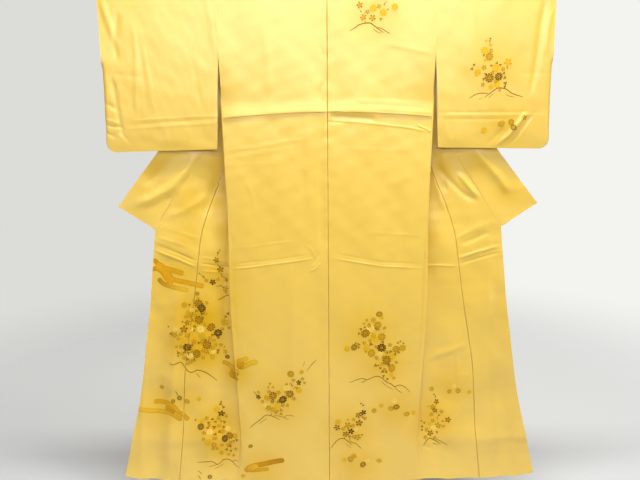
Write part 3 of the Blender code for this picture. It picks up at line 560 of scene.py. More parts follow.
# Hill lines, stems and grass: cloth, half width in metres, places
LINES = [
    ("back", 0.0013, (349.8, 30.8), (355.2, 27.7), (359.2, 24.8), (365.4, 23.2), (370.4, 23.2), (373, 25),
     (376.6, 27.7), (383.3, 33)),
    ("back", 0.0009, (377, 27.7), (380.2, 28.1), (384.6, 30.4), (390, 33.7)),
    ("back", 0.0007, (373, 29), (377, 31.8), (381, 33.6)),
    ("back", 0.0007, (386.6, 10.7), (388.7, 8.5)),
    ("back", 0.0007, (383.4, 5.8), (384.6, 3.4), (387, 1.6)),
    ("back", 0.0006, (365.2, 11), (364.4, 15)),
    ("sleeve_right", 0.0010, (469.3, 98.5), (474.8, 95), (479.9, 93.2), (486.2, 93.2), (488.6, 94)),
    ("sleeve_right", 0.0011, (484.3, 97.5), (488.8, 94.3), (493.9, 90.5), (499, 87.9), (506, 88.9), (510.5, 92.1),
     (514.3, 94), (523.2, 96.9)),
    ("sleeve_right", 0.0006, (478.6, 99.4), (480.6, 98.6), (482.7, 97.8)),
    ("sleeve_right", 0.0006, (488.8, 98.1), (491.4, 95.6), (493.9, 93.4)),
    ("sleeve_right", 0.0006, (505.4, 94.3), (510, 96), (515, 97.2)),
    ("wing_left", 0.0012, (229.6, 295.2), (226, 296.6), (223.8, 297.4), (220.2, 299.7), (217, 300.8)),
    ("wing_left", 0.0009, (217.1, 263), (217.7, 266.4), (219.2, 268.2)),
    ("wing_left", 0.0009, (220.5, 273), (221.4, 277.3), (224.4, 278.5), (226.8, 280.3)),
    ("wing_left", 0.0009, (215.6, 286.4), (217.7, 287.3), (220.2, 286.4), (223.2, 289.4)),
    ("wing_left", 0.0007, (199, 273.4), (202.4, 276.6), (205.6, 279.6)),
    ("wing_left", 0.0007, (216.8, 257), (217.4, 254), (219, 251)),
    ("wing_left", 0.0012, (169.8, 362.4), (171.4, 364.7), (175.8, 363.7), (180.3, 362.1), (182.5, 363.4),
     (185.4, 367.9), (189.2, 371.7), (193, 372), (196.9, 370.1), (200.7, 370.7), (205.8, 372.6), (210.9, 376.1),
     (216.9, 381.2)),
    ("wing_left", 0.0007, (195.6, 373), (198.4, 375.4), (200.7, 378.1)),
    ("wing_left", 0.0008, (224.6, 346.8), (223.2, 350)),
    ("wing_left", 0.0011, (197.5, 461.7), (207, 460.6), (213, 460.6), (217.3, 463.5), (220.2, 462.4),
     (223.9, 459.1), (228.3, 458.4), (232.7, 460.6), (236.4, 464.6), (240, 465.6)),
    ("wing_left", 0.0008, (232.8, 460.6), (235.7, 459.1), (239, 460.2)),
    ("wing_left", 0.0007, (209.2, 465.3), (213, 464.6), (217, 463.6)),
    ("wing_left", 0.0006, (215, 467.5), (219.5, 466), (223.9, 463.1)),
    ("wing_left", 0.0009, (198.2, 469.7), (200.4, 471.2), (202.6, 473)),
    ("wing_left", 0.0010, (198.6, 474), (200, 476), (201.5, 477.8)),
    ("wing_left", 0.0010, (175.5, 390.5), (177, 393), (178.4, 395.3)),
    ("back", 0.0011, (249.8, 428.2), (255, 423.8), (260.6, 419.5), (265.5, 415.4), (269.8, 415.2), (274.7, 417),
     (280, 419.5)),
    ("back", 0.0007, (274, 415.4), (281.2, 416.2), (288.8, 419.5)),
    ("back", 0.0007, (283.4, 417.3), (287.2, 415.2), (291.5, 415.2), (294.2, 416.5)),
    ("back", 0.0006, (259, 424.4), (263, 421), (267, 418.4)),
    ("back", 0.0009, (270.9, 412.5), (271.4, 415)),
    ("back", 0.0009, (293.4, 389), (294.8, 387.4), (296.4, 386)),
    ("back", 0.0008, (306.7, 371.3), (309, 367.6), (312, 364), (316.4, 359.6)),
    ("back", 0.0006, (303.5, 366), (304, 363.6), (304.5, 361)),
    ("back", 0.0009, (253.3, 391.3), (254.8, 393), (256.6, 395)),
    ("back", 0.0011, (349, 382.6), (353.5, 381), (357.3, 379.4), (363, 378.1), (366.3, 379.4), (370.7, 377.8),
     (375.8, 376), (379.6, 376.5), (383.5, 379.1), (387.3, 382.3), (391.1, 383.9), (394.6, 386.5), (398.8, 385.1),
     (403.2, 386.1), (407, 389.2), (410.6, 392.8)),
    ("back", 0.0008, (366.3, 379.4), (364, 381), (361.1, 382.3)),
    ("back", 0.0008, (394.6, 386.7), (396.4, 389), (398.8, 390.9), (402, 393.1)),
    ("back", 0.0006, (380.9, 381), (386, 385.5), (393.7, 389.9)),
    ("back", 0.0011, (330.9, 448.3), (334.8, 442.8), (339.2, 439), (343.7, 438), (347.5, 440.6), (351.7, 444.4)),
    ("back", 0.0009, (349.4, 440), (352, 441.9), (355.8, 442.8), (361.2, 447.9)),
    ("back", 0.0006, (345.3, 443.2), (348, 445), (351.3, 447.3)),
    ("back", 0.0008, (344.4, 436), (344.6, 438)),
    ("back", 0.0008, (350, 436.6), (349.8, 440.4), (351.4, 441.8)),
    ("wing_right", 0.0012, (423, 444.3), (426, 440.2), (428.8, 437.9), (431.5, 438.5), (435.2, 440.4), (440.7, 443.6)),
    ("wing_right", 0.0009, (435.7, 440.1), (437, 439.2), (442.5, 441.5), (447.1, 443.6)),
    ("wing_right", 0.0007, (432.4, 443.4), (435, 443.5), (437.5, 444.5)),
    ("wing_right", 0.0007, (437.7, 416.7), (437.3, 418.6), (437.5, 420.4)),
]
# Mist bands: cloth, half width in metres, dyes at both ends, places
MISTS = [
    ("wing_left", 0.0072, MIST_DARK, MIST_DEEP, (150.2, 261.2), (154, 260.6), (157, 262.9), (159.5, 265.8)),
    ("wing_left", 0.0072, MIST_DARK, MIST_DEEP, (150.2, 269.3), (154, 268.8), (157.7, 268.4), (161, 267.6)),
    ("wing_left", 0.0150, MIST_DEEP, MIST_DEEP, (155.5, 264.6), (160, 267.6), (164, 271), (167.5, 276),
     (170.5, 281.5)),
    ("wing_left", 0.0082, MIST_DEEP, MIST_DYE, (162, 267.6), (169.2, 269.6), (176.5, 271.6), (183.8, 273.8)),
    ("wing_left", 0.0080, MIST_DEEP, MIST_DYE, (166, 277), (171, 279), (179, 281), (187.4, 282.7), (197, 285),
     (204, 286.8)),
    ("wing_left", 0.0074, MIST_DARK, MIST_PALE, (158.4, 278.2), (162, 282.6), (165.6, 284.8), (171, 286.6),
     (179, 288.4), (188.6, 290.7)),
    ("wing_left", 0.0110, MIST_DEEP, MIST_DEEP, (168.6, 277.6), (169.8, 281.6), (171.0, 285.2)),
    ("wing_left", 0.0078, MIST_DYE, MIST_DYE, (221.8, 362), (229, 364.8), (234.5, 368.8)),
    ("wing_left", 0.0072, MIST_DYE, MIST_DARK, (229.6, 371.6), (231.4, 374.8), (235, 377), (239, 377.6)),
    ("wing_left", 0.0165, MIST_DYE, MIST_DARK, (231.6, 367.4), (234.4, 370.6), (237.0, 375.0)),
    ("back", 0.0135, MIST_DYE, MIST_DARK, (238.4, 361.4), (240.4, 365.4), (241.0, 370.0)),
    ("back", 0.0074, MIST_DYE, MIST_PALE, (236, 361), (239.3, 361.6), (243, 360.4), (248.2, 357.8)),
    ("back", 0.0086, MIST_DYE, MIST_PALE, (239.3, 369.0), (245.7, 365.8), (252, 363), (258, 361.9)),
    ("wing_left", 0.0080, MIST_DYE, MIST_DYE, (153, 402.8), (160.8, 402.6), (169.6, 403.5), (174, 406.5),
     (177.7, 410.7), (182.8, 414.3), (189, 419.8)),
    ("wing_left", 0.0080, MIST_PALE, MIST_DYE, (138.6, 408.2), (146.9, 410), (155, 411.8), (163.7, 412.1),
     (171, 412.9), (177, 416.5), (182, 420)),
    ("wing_left", 0.0170, MIST_DYE, MIST_DARK, (166.4, 404.6), (170.4, 408.4), (174.0, 413.0)),
    ("back", 0.0088, MIST_DARK, MIST_DEEP, (284.4, 459.8), (274.4, 461.5), (261.6, 464.6), (253.7, 466),
     (248.6, 468.8), (245, 472.4)),
    ("back", 0.0125, MIST_PALE, MIST_DEEP, (258, 466.2), (251.4, 468.0), (246.2, 471)),
    ("back", 0.0064, MIST_DEEP, MIST_DYE, (248.9, 471.2), (258.5, 470.2), (269, 469.1)),
    ("back", 0.0060, MIST_DYE, MIST_PALE, (240.6, 477), (245.6, 476.2)),
]
# Golden dye about the sprays: x, y, reach in pixels, strength
HALOS = [
    (372, 14, 26, 0.45), (492, 64, 27, 0.50), (505, 124, 20, 0.45), (216, 278, 20, 0.70), (200, 322, 30, 1.00),
    (202, 350, 26, 1.00), (184, 345, 18, 0.80), (178, 275, 22, 0.60), (218, 428, 24, 0.85), (222, 446, 20, 0.80),
    (185, 402, 22, 0.50), (280, 398, 26, 0.60), (368, 335, 26, 0.60), (384, 362, 23, 0.62), (352, 428, 24, 0.60),
    (396, 408, 22, 0.55), (432, 420, 24, 0.70), (450, 390, 20, 0.50), (262, 466, 22, 0.55), (358, 461, 22, 0.55),
    (234, 372, 18, 0.75), (160, 410, 20, 0.55), (222, 300, 18, 0.60),
]
# Painted shade in the same dye and columns, for the wings alone, where they go in behind the sleeves and the back:
# deeper gold with less shine
WING_SHADE_HALOS = [
    (214, 162, 12, 0.60), (216, 186, 12, 0.50), (217, 206, 10, 0.45), (225, 232, 9, 0.40), (152, 166, 13, 0.45),
    (190, 202, 14, 0.50), (188, 238, 12, 0.40), (443, 166, 12, 0.60), (478, 166, 13, 0.35), (510, 194, 14, 0.45),
    (432, 240, 9, 0.35), (431, 268, 9, 0.35),
]
# Width of a cloud of dye against its reach
HALO_SPREAD = 1.1
# Flowers of width 1: overlapping petals below, then two rings of finer petals about a heart
PETAL_SIZES = (" Petals", " Length", " Width", " Reach")
FLOWER_PARTS = [ring + size for ring in ("Base", "Outer", "Inner") for size in PETAL_SIZES] + ["Heart Size"]
FLOWER_KINDS = {
    "plum": (5, 0.38, 0.30, 0.24, 5, 0.27, 0.27, 0.37, 5, 0.06, 0.05, 0.14, 0.09),
    "double": (9, 0.36, 0.30, 0.30, 9, 0.17, 0.21, 0.41, 6, 0.13, 0.16, 0.22, 0.16),
    "plain": (7, 0.42, 0.38, 0.28, 7, 0.08, 0.14, 0.44, 5, 0.05, 0.09, 0.20, 0.09),
    "wheel": (12, 0.32, 0.20, 0.33, 12, 0.10, 0.15, 0.44, 9, 0.17, 0.05, 0.25, 0.16),
    "bud": (3, 0.50, 0.46, 0.20, 3, 0.40, 0.36, 0.30, 1, 0.05, 0.05, 0.00, 0.05),
}
PETAL_SIDES = 8
HEART_CORE = 0.2
LEAST_SQUASH = 0.78
# The cloth that each part of the design lies on, and its depth
DESIGN_CLOTHS = {
    "back": (["body_panel_left", "body_panel_right"], BACK_PLANE),
    "wing_left": (["body_panel_left", "okumi_panel_left"], WING_PLANE),
    "wing_right": (["body_panel_right", "okumi_panel_right"], WING_PLANE),
    "sleeve_right": (["sleeve_cloth_right"], BACK_PLANE),
}
# Flowers start in front of the cloth and are moved back onto it. What misses it, or hangs across a step
# deeper than the limit, is left out.
FLOWER_START = -0.35
MISS_DEPTH = -0.30
RAY_ROOM = 0.06
STEP_LIMIT = 0.004
# Steps along lines and mist bands, and how they narrow to their ends
CURVE_STEPS = 12
CURVE_FEWEST = 3
LINE_STEP = 0.0022
LINE_END = 0.35
LINE_TAPER = 4.0
MIST_STEP = 0.0016
MIST_TIP = 0.0003
MIST_LEVELS = 4
# Thickness of a layer of dye, its height above the cloth, and the step from one layer to the next
WAFER = 0.00016
MIST_LIFT = 0.00012
LINE_LIFT = 0.00028
FLOWER_LIFT = 0.00034
LAYER_STEP = 0.00005
# Node settings of a mix of colours
COLOUR = {"data_type": "RGBA"}


def mix(low, high, share):
    """A value between two others."""
    return low + (high - low) * share


def smooth(value):
    """0 below 0, 1 above 1, and a soft step between."""
    value = np.clip(value, 0.0, 1.0)
    return value * value * (3.0 - 2.0 * value)


def round_end(share):
    """The outline of a round end: 0 at its tip, 1 where it has its full width."""
    return np.sqrt(1.0 - (1.0 - share) ** 2)


def read(table, at):
    """A smooth curve through a table's rows that never overshoots them."""
    keys = [row[0] for row in table]
    values = [row[1] for row in table]
    if at <= keys[0]:
        return values[0]
    if at >= keys[-1]:
        return values[-1]
    slopes = [(values[i + 1] - values[i]) / (keys[i + 1] - keys[i]) for i in range(len(keys) - 1)]
    ends = [slopes[0]] + [0.0] * (len(keys) - 2) + [slopes[-1]]
    for i in range(1, len(keys) - 1):
        if slopes[i - 1] * slopes[i] > 0.0:
            ends[i] = 2.0 * slopes[i - 1] * slopes[i] / (slopes[i - 1] + slopes[i])
    i = max(k for k in range(len(keys) - 1) if keys[k] <= at)
    span = keys[i + 1] - keys[i]
    t = (at - keys[i]) / span
    start = values[i] * (1.0 + 2.0 * t) * (1.0 - t) ** 2 + ends[i] * span * t * (1.0 - t) ** 2
    finish = values[i + 1] * t * t * (3.0 - 2.0 * t) + ends[i + 1] * span * t * t * (t - 1.0)
    return start + finish


def spaced_drops(first, last, fine):
    """Drops from first to last, closer together in the fine bands."""
    drops = [first]
    while drops[-1] < last - CLOSE:
        here = drops[-1]
        step = ROW_STEP
        for middle, reach, fine_step in fine:
            far = float(smooth((abs(here - middle) - reach / 2) / reach))
            step = min(step, mix(fine_step, ROW_STEP, far))
        drops.append(here + step)
    drops[-1] = last
    return drops


def hem_lift(x, drop):
    """How far points near the wing's lower corner are raised."""
    share = np.clip((x - HEM_LIFT_START) / HEM_LIFT_REACH, 0.0, 1.0)
    return HEM_LIFT * share ** 2 * (drop / HEM_DROP) ** HEM_LIFT_POWER


def front_cut(drop, steps=CUT_STEPS):
    """Level cut through a front as x and y arrays, from the side edge to the wing's seam."""
    headings = [math.pi * read(table, drop) for table in (START_HEADING, STRIP_HEADING, WING_HEADING)]
    turns = [abs(headings[1] - headings[0]), abs(headings[2] - headings[1])]
    bends = [max(FOLD_RADIUS * t, STRAIGHT_BEND * (1.0 - t / math.pi) ** 4) for t in turns]
    x = read(BACK_EDGE, drop) + SEAM_GAP * math.cos(headings[0])
    y = read(FRONT_EDGE_DEPTH, drop)
    cut = [(x, y)]

    def go(length, first, last, count):
        nonlocal x, y
        for k in range(count):
            heading = mix(first, last, (k + 0.5) / count)
            x += math.cos(heading) * length / count
            y += math.sin(heading) * length / count
            cut.append((x, y))

    go(read(SIDE_BAND, drop), headings[0], headings[0], steps[0])
    go(bends[0], headings[0], headings[1], steps[1])
    allowance = mix(bends[1] + LEAST_WING, FOLD_RADIUS, turns[1] / math.pi)
    strip = max(x - read(HIDDEN_FOLD, drop) - allowance, FOLD_RADIUS)
    go(strip, headings[1], headings[1], steps[2])
    go(bends[1], headings[1], headings[2], steps[3])
    seam = read(COLLAR_SEAM if drop < OKUMI_TOP_DROP else OKUMI_SEAM, drop)
    wing = max((seam - x) * math.cos(headings[2]), LEAST_WING)
    go(wing, headings[2], headings[2], steps[4])
    return np.array(cut)


# Depths of wing_level that are already known
LEVELS = {}


def wing_level(drop):
    """Depth at which the hidden fold leaves the wing."""
    key = round(max(drop, WING_DROP), 4)
    if key not in LEVELS:
        LEVELS[key] = front_cut(key, ROUGH_STEPS)[-1][1]
    return LEVELS[key]


def wing_depth(x, drop):
    """Depth of the opened wing at points of one drop: its fold, its lean and its soft folds."""
    away = np.clip((x - read(HIDDEN_FOLD, drop)) / WING_LEAN_REACH, 0.0, 1.0)
    depth = wing_level(drop) + read(WING_LEAN, drop) * away * away + wing_trough(x, drop)
    for top_x, hem_x, first, full, half_width, size in WING_FOLDS:
        middle = mix(top_x, hem_x, (drop - first) / (HEM_DROP - first))
        nearness = (x - middle) / half_width
        depth = depth + size * smooth((drop - first) / (full - first)) * np.exp(-nearness * nearness)
    return depth


def wing_trough(x, drop):
    """How far the wing sinks back below the sleeve and beside the back panel's edge."""
    away = np.maximum((x - read(BACK_EDGE, drop)) / TROUGH_REACH, 0.0)
    start = float(smooth((drop - TROUGH_DROP) / TROUGH_FADE))
    depth = TROUGH * start * (1.0 - TROUGH_EASE * float(smooth((drop - TROUGH_EASE_DROP) / TROUGH_EASE_FADE)))
    edge = EDGE_TROUGH * start * float(smooth((HEM_DROP - drop) / EDGE_TROUGH_FADE))
    return depth * np.exp(-away ** 2) + edge * np.exp(-(away * TROUGH_REACH / EDGE_TROUGH_REACH) ** 2)


def front_row(drop):
    """A body panel's front at one height, from the side edge to the wing's seam."""
    cut = front_cut(drop)
    x, y = cut[:, 0], cut[:, 1].copy()
    if drop >= WING_DROP:
        share = np.clip((np.arange(len(cut)) - FIRST_WING) / CUT_STEPS[-1], 0.0, 1.0)
        y = np.where(share > 0.0, mix(y, wing_depth(x, drop), smooth(share / WING_EASE)), y)
    return np.stack([x, y, np.full_like(x, -drop)], axis=1)


def shoulder_fractions():
    """Shares of the shoulder's width at which the columns of the front's cut lie."""
    x = front_cut(-SHOULDER_RADIUS)[:, 0]
    return (x[0] - x) / (x[0] - x[-1])


def tuck_sag(drop):
    """How far the rows near the waist tuck hang lower at the side edges."""
    return TUCK_SAG * math.exp(-(((drop - TUCK_DROP) / TUCK_SAG_REACH) ** 2))


def back_row(drop, inner):
    """A body panel's back at one height, from the side edge to its inner end."""
    side = read(BACK_EDGE, drop + tuck_sag(drop))
    fractions = shoulder_fractions()
    even = float(smooth(drop / ARMHOLE_DROP))
    shares = mix(fractions, np.linspace(0.0, 1.0, len(fractions)), even)
    x = mix(side, inner, shares)
    edge = np.abs(x) / side
    low = drop + tuck_sag(drop) * edge * edge
    edge_depth = np.array([read(BACK_EDGE_DEPTH, d) for d in low])
    y = mix(-SHOULDER_RADIUS, edge_depth, edge ** 4)
    if drop < TUCK_DROP:
        y = y - TUCK_LAP * float(smooth(1.0 - (TUCK_DROP - drop) / TUCK_LAP_HEIGHT)) ** 2
    return np.stack([x, y, -low], axis=1)


def shoulder_row(angle):
    """Points over the rod, the angle running from the back at 0 to the front at half a turn."""
    neck = mix(NECK_EDGE[-1][1], NECK_POINT, math.sin(min(angle, math.pi / 2)))
    x = mix(BACK_EDGE[0][1], neck, shoulder_fractions())
    y = np.full_like(x, -SHOULDER_RADIUS * math.cos(angle))
    z = np.full_like(x, SHOULDER_RADIUS * math.sin(angle))
    return np.stack([x, y, z], axis=1)


def front_drops():
    """Drops of a front's rows, from behind the rod to the hem."""
    return [0.0, *NECK_DROPS] + spaced_drops(WING_DROP, HEM_DROP, FINE_ROWS[2:])


def body_grid():
    """A whole body panel: up the back, over the rod and down the folded front."""
    half_gap = SEAM_GAP / 2
    down = spaced_drops(NECK_DROP + BELOW_NECK, HEM_DROP, FINE_ROWS)
    rows = [back_row(drop, half_gap) for drop in reversed(down)]
    backs = len(rows)
    rows += [back_row(drop, max(x, half_gap)) for drop, x in NECK_EDGE]
    turns = 2 * SHOULDER_STEPS
    rows += [shoulder_row(math.pi * k / turns) for k in range(1, turns)]
    rows += [front_row(drop) for drop in front_drops()]
    return np.array(rows), backs


def okumi_grid():
    """The overlap panel between the body panel and the collar or front edge."""
    rows = []
    shares = np.linspace(0.0, 1.0, OKUMI_STEPS + 1)
    for drop in spaced_drops(OKUMI_TOP_DROP, HEM_DROP, FINE_ROWS[2:]):
        edge = read(COLLAR_SEAM if drop < COLLAR_END_DROP else FRONT_EDGE, drop)
        x = mix(read(OKUMI_SEAM, drop) + SEAM_GAP, edge, shares)
        rows.append(np.stack([x, wing_depth(x, drop), -drop + hem_lift(x, drop)], axis=1))
    return np.array(rows)


def level_direction(drop):
    """The direction in which a body panel's level cut ends."""
    heading = math.pi * read(WING_HEADING, drop)
    return Vector((math.cos(heading), math.sin(heading), 0.0))


def bent_strip(start, first, last, gap):
    """Collar points across one neck section: a short bend between two directions, then straight."""
    turn = first.angle(last)
    bend = max(COLLAR_BEND_RADIUS * turn, COLLAR_FLAT_BEND)
    axis = first.cross(last).normalized()
    here = start + first * gap
    points = [here]
    for k in range(COLLAR_BEND_STEPS):
        heading = Quaternion(axis, turn * k / (COLLAR_BEND_STEPS - 1)) @ first
        here = here + heading * (bend / COLLAR_BEND_STEPS)
        points.append(here)
    for k in range(1, COLLAR_STEPS + 1):
        points.append(here + last * ((COLLAR_NECK_WIDTH - bend) * k / COLLAR_STEPS))
    return points


def collar_lean(share):
    """The collar's direction between the centre back and behind the rod."""
    return Vector([read([(key, lean[i]) for key, lean in COLLAR_LEAN], share) for i in range(3)]).normalized()


def wing_direction(drop):
    """Square to the collar's seam, outwards and upwards in the wing."""
    half_step = 0.02
    low = min(drop + half_step, COLLAR_END_DROP)
    slope = (read(COLLAR_SEAM, low) - read(COLLAR_SEAM, low - 2.0 * half_step)) / (2.0 * half_step)
    return Vector((1.0, 0.0, slope)).normalized()


def wing_section(x, drop):
    """One collar section in the opened wing, lying in the wing's own surface."""
    across = wing_direction(drop)
    width = mix(COLLAR_NECK_WIDTH, COLLAR_END_WIDTH, drop / COLLAR_END_DROP)
    spots = [COLLAR_FLAT_BEND * k / COLLAR_BEND_STEPS for k in range(COLLAR_BEND_STEPS)]
    spots += [mix(COLLAR_FLAT_BEND, width, k / COLLAR_STEPS) for k in range(COLLAR_STEPS + 1)]
    section = []
    for spot in spots:
        px = x + SEAM_GAP + across.x * spot
        pz = -drop + across.z * spot
        section.append(Vector((px, float(wing_depth(px, -pz)), pz)))
    return section


def neck_ends():
    """Where a body panel ends, from the centre back round the neck and over the rod."""
    ends = [Vector(back_row(drop, x)[-1]) for drop, x in NECK_EDGE]
    ends[0].x = 0.0
    ends += [Vector(shoulder_row(math.pi * k / SHOULDER_STEPS)[-1]) for k in range(1, SHOULDER_STEPS)]
    return ends + [Vector(front_row(0.0)[-1])]


def as_grid(sections):
    """Rows of points as one array."""
    return np.array([[tuple(p) for p in section] for section in sections])


def neck_sections():
    """Collar sections round the neck, where it stands up and then turns over the shoulder."""
    ends = neck_ends()
    last = len(ends) - 1
    sections = []
    for k, start in enumerate(ends):
        share = k / last
        turn = min(share * COLLAR_TURN_RATE, 1.0) * math.pi / 2
        out_of_panel = Vector((-math.sin(turn), 0.0, math.cos(turn))) if k < last else level_direction(0.0)
        gap = mix(SEAM_GAP, TWIST_GAP, float(smooth((share - TWIST_START) / (1.0 - TWIST_START))))
        sections.append(bent_strip(start, out_of_panel, collar_lean(share), gap))
    for drop in NECK_DROPS:
        lean = collar_lean(1.0).lerp(wing_direction(drop), drop / WING_DROP).normalized()
        sections.append(bent_strip(Vector(front_row(drop)[-1]), level_direction(drop), lean, TWIST_GAP))
    return as_grid(sections)


def wing_sections():
    """Collar sections down the opened wing."""
    sections = []
    for drop in spaced_drops(WING_DROP, COLLAR_END_DROP, []):
        x = Vector(front_row(drop)[-1]).x if drop < OKUMI_TOP_DROP else read(COLLAR_SEAM, drop)
        sections.append(wing_section(x, drop))
    return as_grid(sections)


def finer(grid, count):
    """More rows through a grid's rows, on smooth curves through them."""
    padded = np.concatenate([2 * grid[:1] - grid[1:2], grid, 2 * grid[-1:] - grid[-2:-1]])
    rows = []
    for i in range(1, len(padded) - 2):
        p0, p1, p2, p3 = padded[i - 1], padded[i], padded[i + 1], padded[i + 2]
        for k in range(count):
            t = k / count
            rows.append(0.5 * (2 * p1 + (p2 - p0) * t + (2 * p0 - 5 * p1 + 4 * p2 - p3) * t * t
                               + (3 * p1 - p0 - 3 * p2 + p3) * t ** 3))
    rows.append(padded[-2])
    return np.array(rows)


def collar_grid():
    """The whole collar from end to end round the neck."""
    down = wing_sections()
    neck = finer(np.concatenate([neck_sections(), down[:1]]), NECK_FINER)
    half = np.concatenate([neck[:-1], down])
    left = half[1:] * np.array([-1.0, 1.0, 1.0])
    whole = np.concatenate([left[::-1], half])
    return finer(whole.transpose(1, 0, 2), COLLAR_FINER).transpose(1, 0, 2)


def sleeve_row(drop, depth_table):
    """One layer of a sleeve at one height, from the body side to the wrist side."""
    inner = read(SLEEVE_INNER, drop)
    outer = read(SLEEVE_OUTER, drop)
    into_corner = max(drop - (SLEEVE_BOTTOM_DROP - SLEEVE_CORNER), 0.0) / SLEEVE_CORNER
    outer -= SLEEVE_CORNER * (1.0 - math.sqrt(max(1.0 - into_corner ** 2, 0.0)))
    depth = read(depth_table, drop)
    closed = float(smooth((drop - WRIST_DROP) / WRIST_CLOSING))
    flat_end = outer - SLEEVE_SEAM_REACH
    flat = np.linspace(inner, flat_end, SLEEVE_STEPS - SLEEVE_SEAM_STEPS + 1)
    x = np.concatenate([flat, np.linspace(flat_end, outer, SLEEVE_SEAM_STEPS + 1)[1:]])
    from_end = np.clip((outer - x) / SLEEVE_SEAM_REACH, 0.0, 1.0)
    seam = math.copysign(SLEEVE_SEAM_DEPTH, depth)
    y = mix(depth, mix(seam, depth, round_end(from_end)), closed)
    sag = SLEEVE_OUTER_SAG * (x - inner) / (outer - inner) * drop / SLEEVE_BOTTOM_DROP
    return np.stack([x, y, -drop - sag], axis=1)


def sleeve_grid():
    """A whole sleeve: up its near layer, over the rod and down its far layer."""
    down = spaced_drops(SLEEVE_TOP_DROP, SLEEVE_BOTTOM_DROP, SLEEVE_FINE_ROWS)
    rows = [sleeve_row(drop, SLEEVE_NEAR_DEPTH) for drop in reversed(down)]
    turns = 2 * SHOULDER_STEPS
    for k in range(turns + 1):
        angle = math.pi * k / turns
        row = sleeve_row(0.0, SLEEVE_FAR_DEPTH)
        row[:, 1] = -SHOULDER_RADIUS * math.cos(angle)
        row[:, 2] = SHOULDER_RADIUS * math.sin(angle)
        rows.append(row)
    rows += [sleeve_row(drop, SLEEVE_FAR_DEPTH) for drop in down]
    return np.array(rows)


def x_and_drop(grid):
    """The x and the drop of a grid's points."""
    return grid[:, :, 0], -grid[:, :, 2]


def grid_normals(grid):
    """Unit normals of a grid, from its rows and columns."""
    normals = np.cross(np.gradient(grid, axis=0), np.gradient(grid, axis=1))
    return normals / np.maximum(np.linalg.norm(normals, axis=2, keepdims=True), TINY)


def seam_edge(grid, turn, last):
    """The grid with its first or last column turned in along a seam, so that no gap shows."""
    if not last:
        return seam_edge(grid[:, ::-1], -turn, True)[:, ::-1]
    out = grid_normals(grid)[:, -1] * turn
    edge = grid[:, -1]
    back = grid[:, -2] - edge
    room = np.linalg.norm(back, axis=1, keepdims=True)
    back = back / np.maximum(room, TINY) * np.minimum(room / SEAM_TURN_ROOM, 1.0)
    columns = [edge + back * away - out * below for away, below in SEAM_TURN]
    return np.concatenate([grid[:, :-1], np.stack(columns, axis=1)], axis=1)


def rim_loop(rows, columns):
    """Grid places round the edge, in order."""
    loop = [(i, 0) for i in range(rows - 1)]
    loop += [(rows - 1, j) for j in range(columns - 1)]
    loop += [(i, columns - 1) for i in range(rows - 1, 0, -1)]
    loop += [(0, j) for j in range(columns - 1, 0, -1)]
    return loop


def camera_turn():
    """The camera's turn: level, pitched down, then rolled a little."""
    return Matrix.Rotation(math.pi / 2 - CAMERA_PITCH, 3, "X") @ Matrix.Rotation(CAMERA_ROLL, 3, "Z")


def seen(px, py, depth):
    """x and drop where a pixel of the photograph meets the upright plane at a depth."""
    ray = camera_turn() @ Vector(((px - FRAME_PIXELS / 2) / FOCAL_PIXELS, (FRAME_LINES / 2 - py) / FOCAL_PIXELS, -1.0))
    reach = (depth - CAMERA_PLACE[1]) / ray.y
    return CAMERA_PLACE[0] + reach * ray.x, -(CAMERA_PLACE[2] + reach * ray.z)


def placed_line(places, depth):
    """A line's places turned from pixels to x and drop."""
    return [seen(px, py, depth) for px, py in places]


def placed(creases, depth):
    """Creases with their places turned from pixels to x and drop."""
    return [(height, half, placed_line(places, depth)) for height, half, *places in creases]


def crease_height(x, drop, creases):
    """How far the creases stand out at points; each fades towards both of its ends."""
    total = np.zeros_like(x)
    for height, half_width, places in creases:
        lengths = [math.dist(a, b) for a, b in zip(places, places[1:])]
        nearest = np.full_like(x, np.inf)
        along = np.zeros_like(x)
        start = 0.0
        for (ax, ad), (bx, bd), length in zip(places, places[1:], lengths):
            t = np.clip(((x - ax) * (bx - ax) + (drop - ad) * (bd - ad)) / length ** 2, 0.0, 1.0)
            away = np.hypot(x - mix(ax, bx, t), drop - mix(ad, bd, t))
            closer = away < nearest
            nearest = np.where(closer, away, nearest)
            along = np.where(closer, (start + t * length) / sum(lengths), along)
            start += length
        fade = smooth(np.minimum(along, 1.0 - along) * CREASE_FADE)
        total = total + height * fade * np.exp(-((nearest / half_width) ** 2))
    return total


def drift(x, drop, seed, wavelength, height, upright):
    """A slow uneven swell of the cloth: a few crossing waves, mostly with upright crests."""
    chance = np.random.default_rng(seed)
    total = np.zeros_like(x)
    for _ in range(DRIFT_WAVES):
        angle = chance.normal(0.0, 1.0 - upright) * math.pi / 2
        wave = FULL_TURN / (wavelength * chance.uniform(*DRIFT_SPREAD))
        phase = chance.uniform(0.0, FULL_TURN)
        total = total + np.sin(wave * (x * math.cos(angle) + drop * math.sin(angle)) + phase)
    return total * height / math.sqrt(DRIFT_WAVES)


def stray_creases(seed, low, high):
    """Creases of the parts out of sight, like those in sight: x and drop between two corners."""
    chance = np.random.default_rng(seed)
    creases = []
    for _ in range(STRAY_COUNT):
        x, drop = (mix(low[k], high[k], chance.uniform()) for k in range(2))
        angle = chance.choice([0.0, math.pi / 2]) + chance.normal(0.0, STRAY_TILT)
        reach = chance.uniform(*STRAY_REACH)
        across, down = reach * math.cos(angle), reach * math.sin(angle)
        bend = chance.uniform(-STRAY_BEND, STRAY_BEND)
        places = [(x - across, drop - down), (x + bend, drop + bend), (x + across, drop + down)]
        creases.append((chance.uniform(*STRAY_HEIGHT), chance.uniform(*STRAY_WIDTH), places))
    return creases


def add_object(name, data):
    """A mesh, light or camera as an object in the scene."""
    item = bpy.data.objects.new(name, data)
    bpy.context.collection.objects.link(item)
    return item


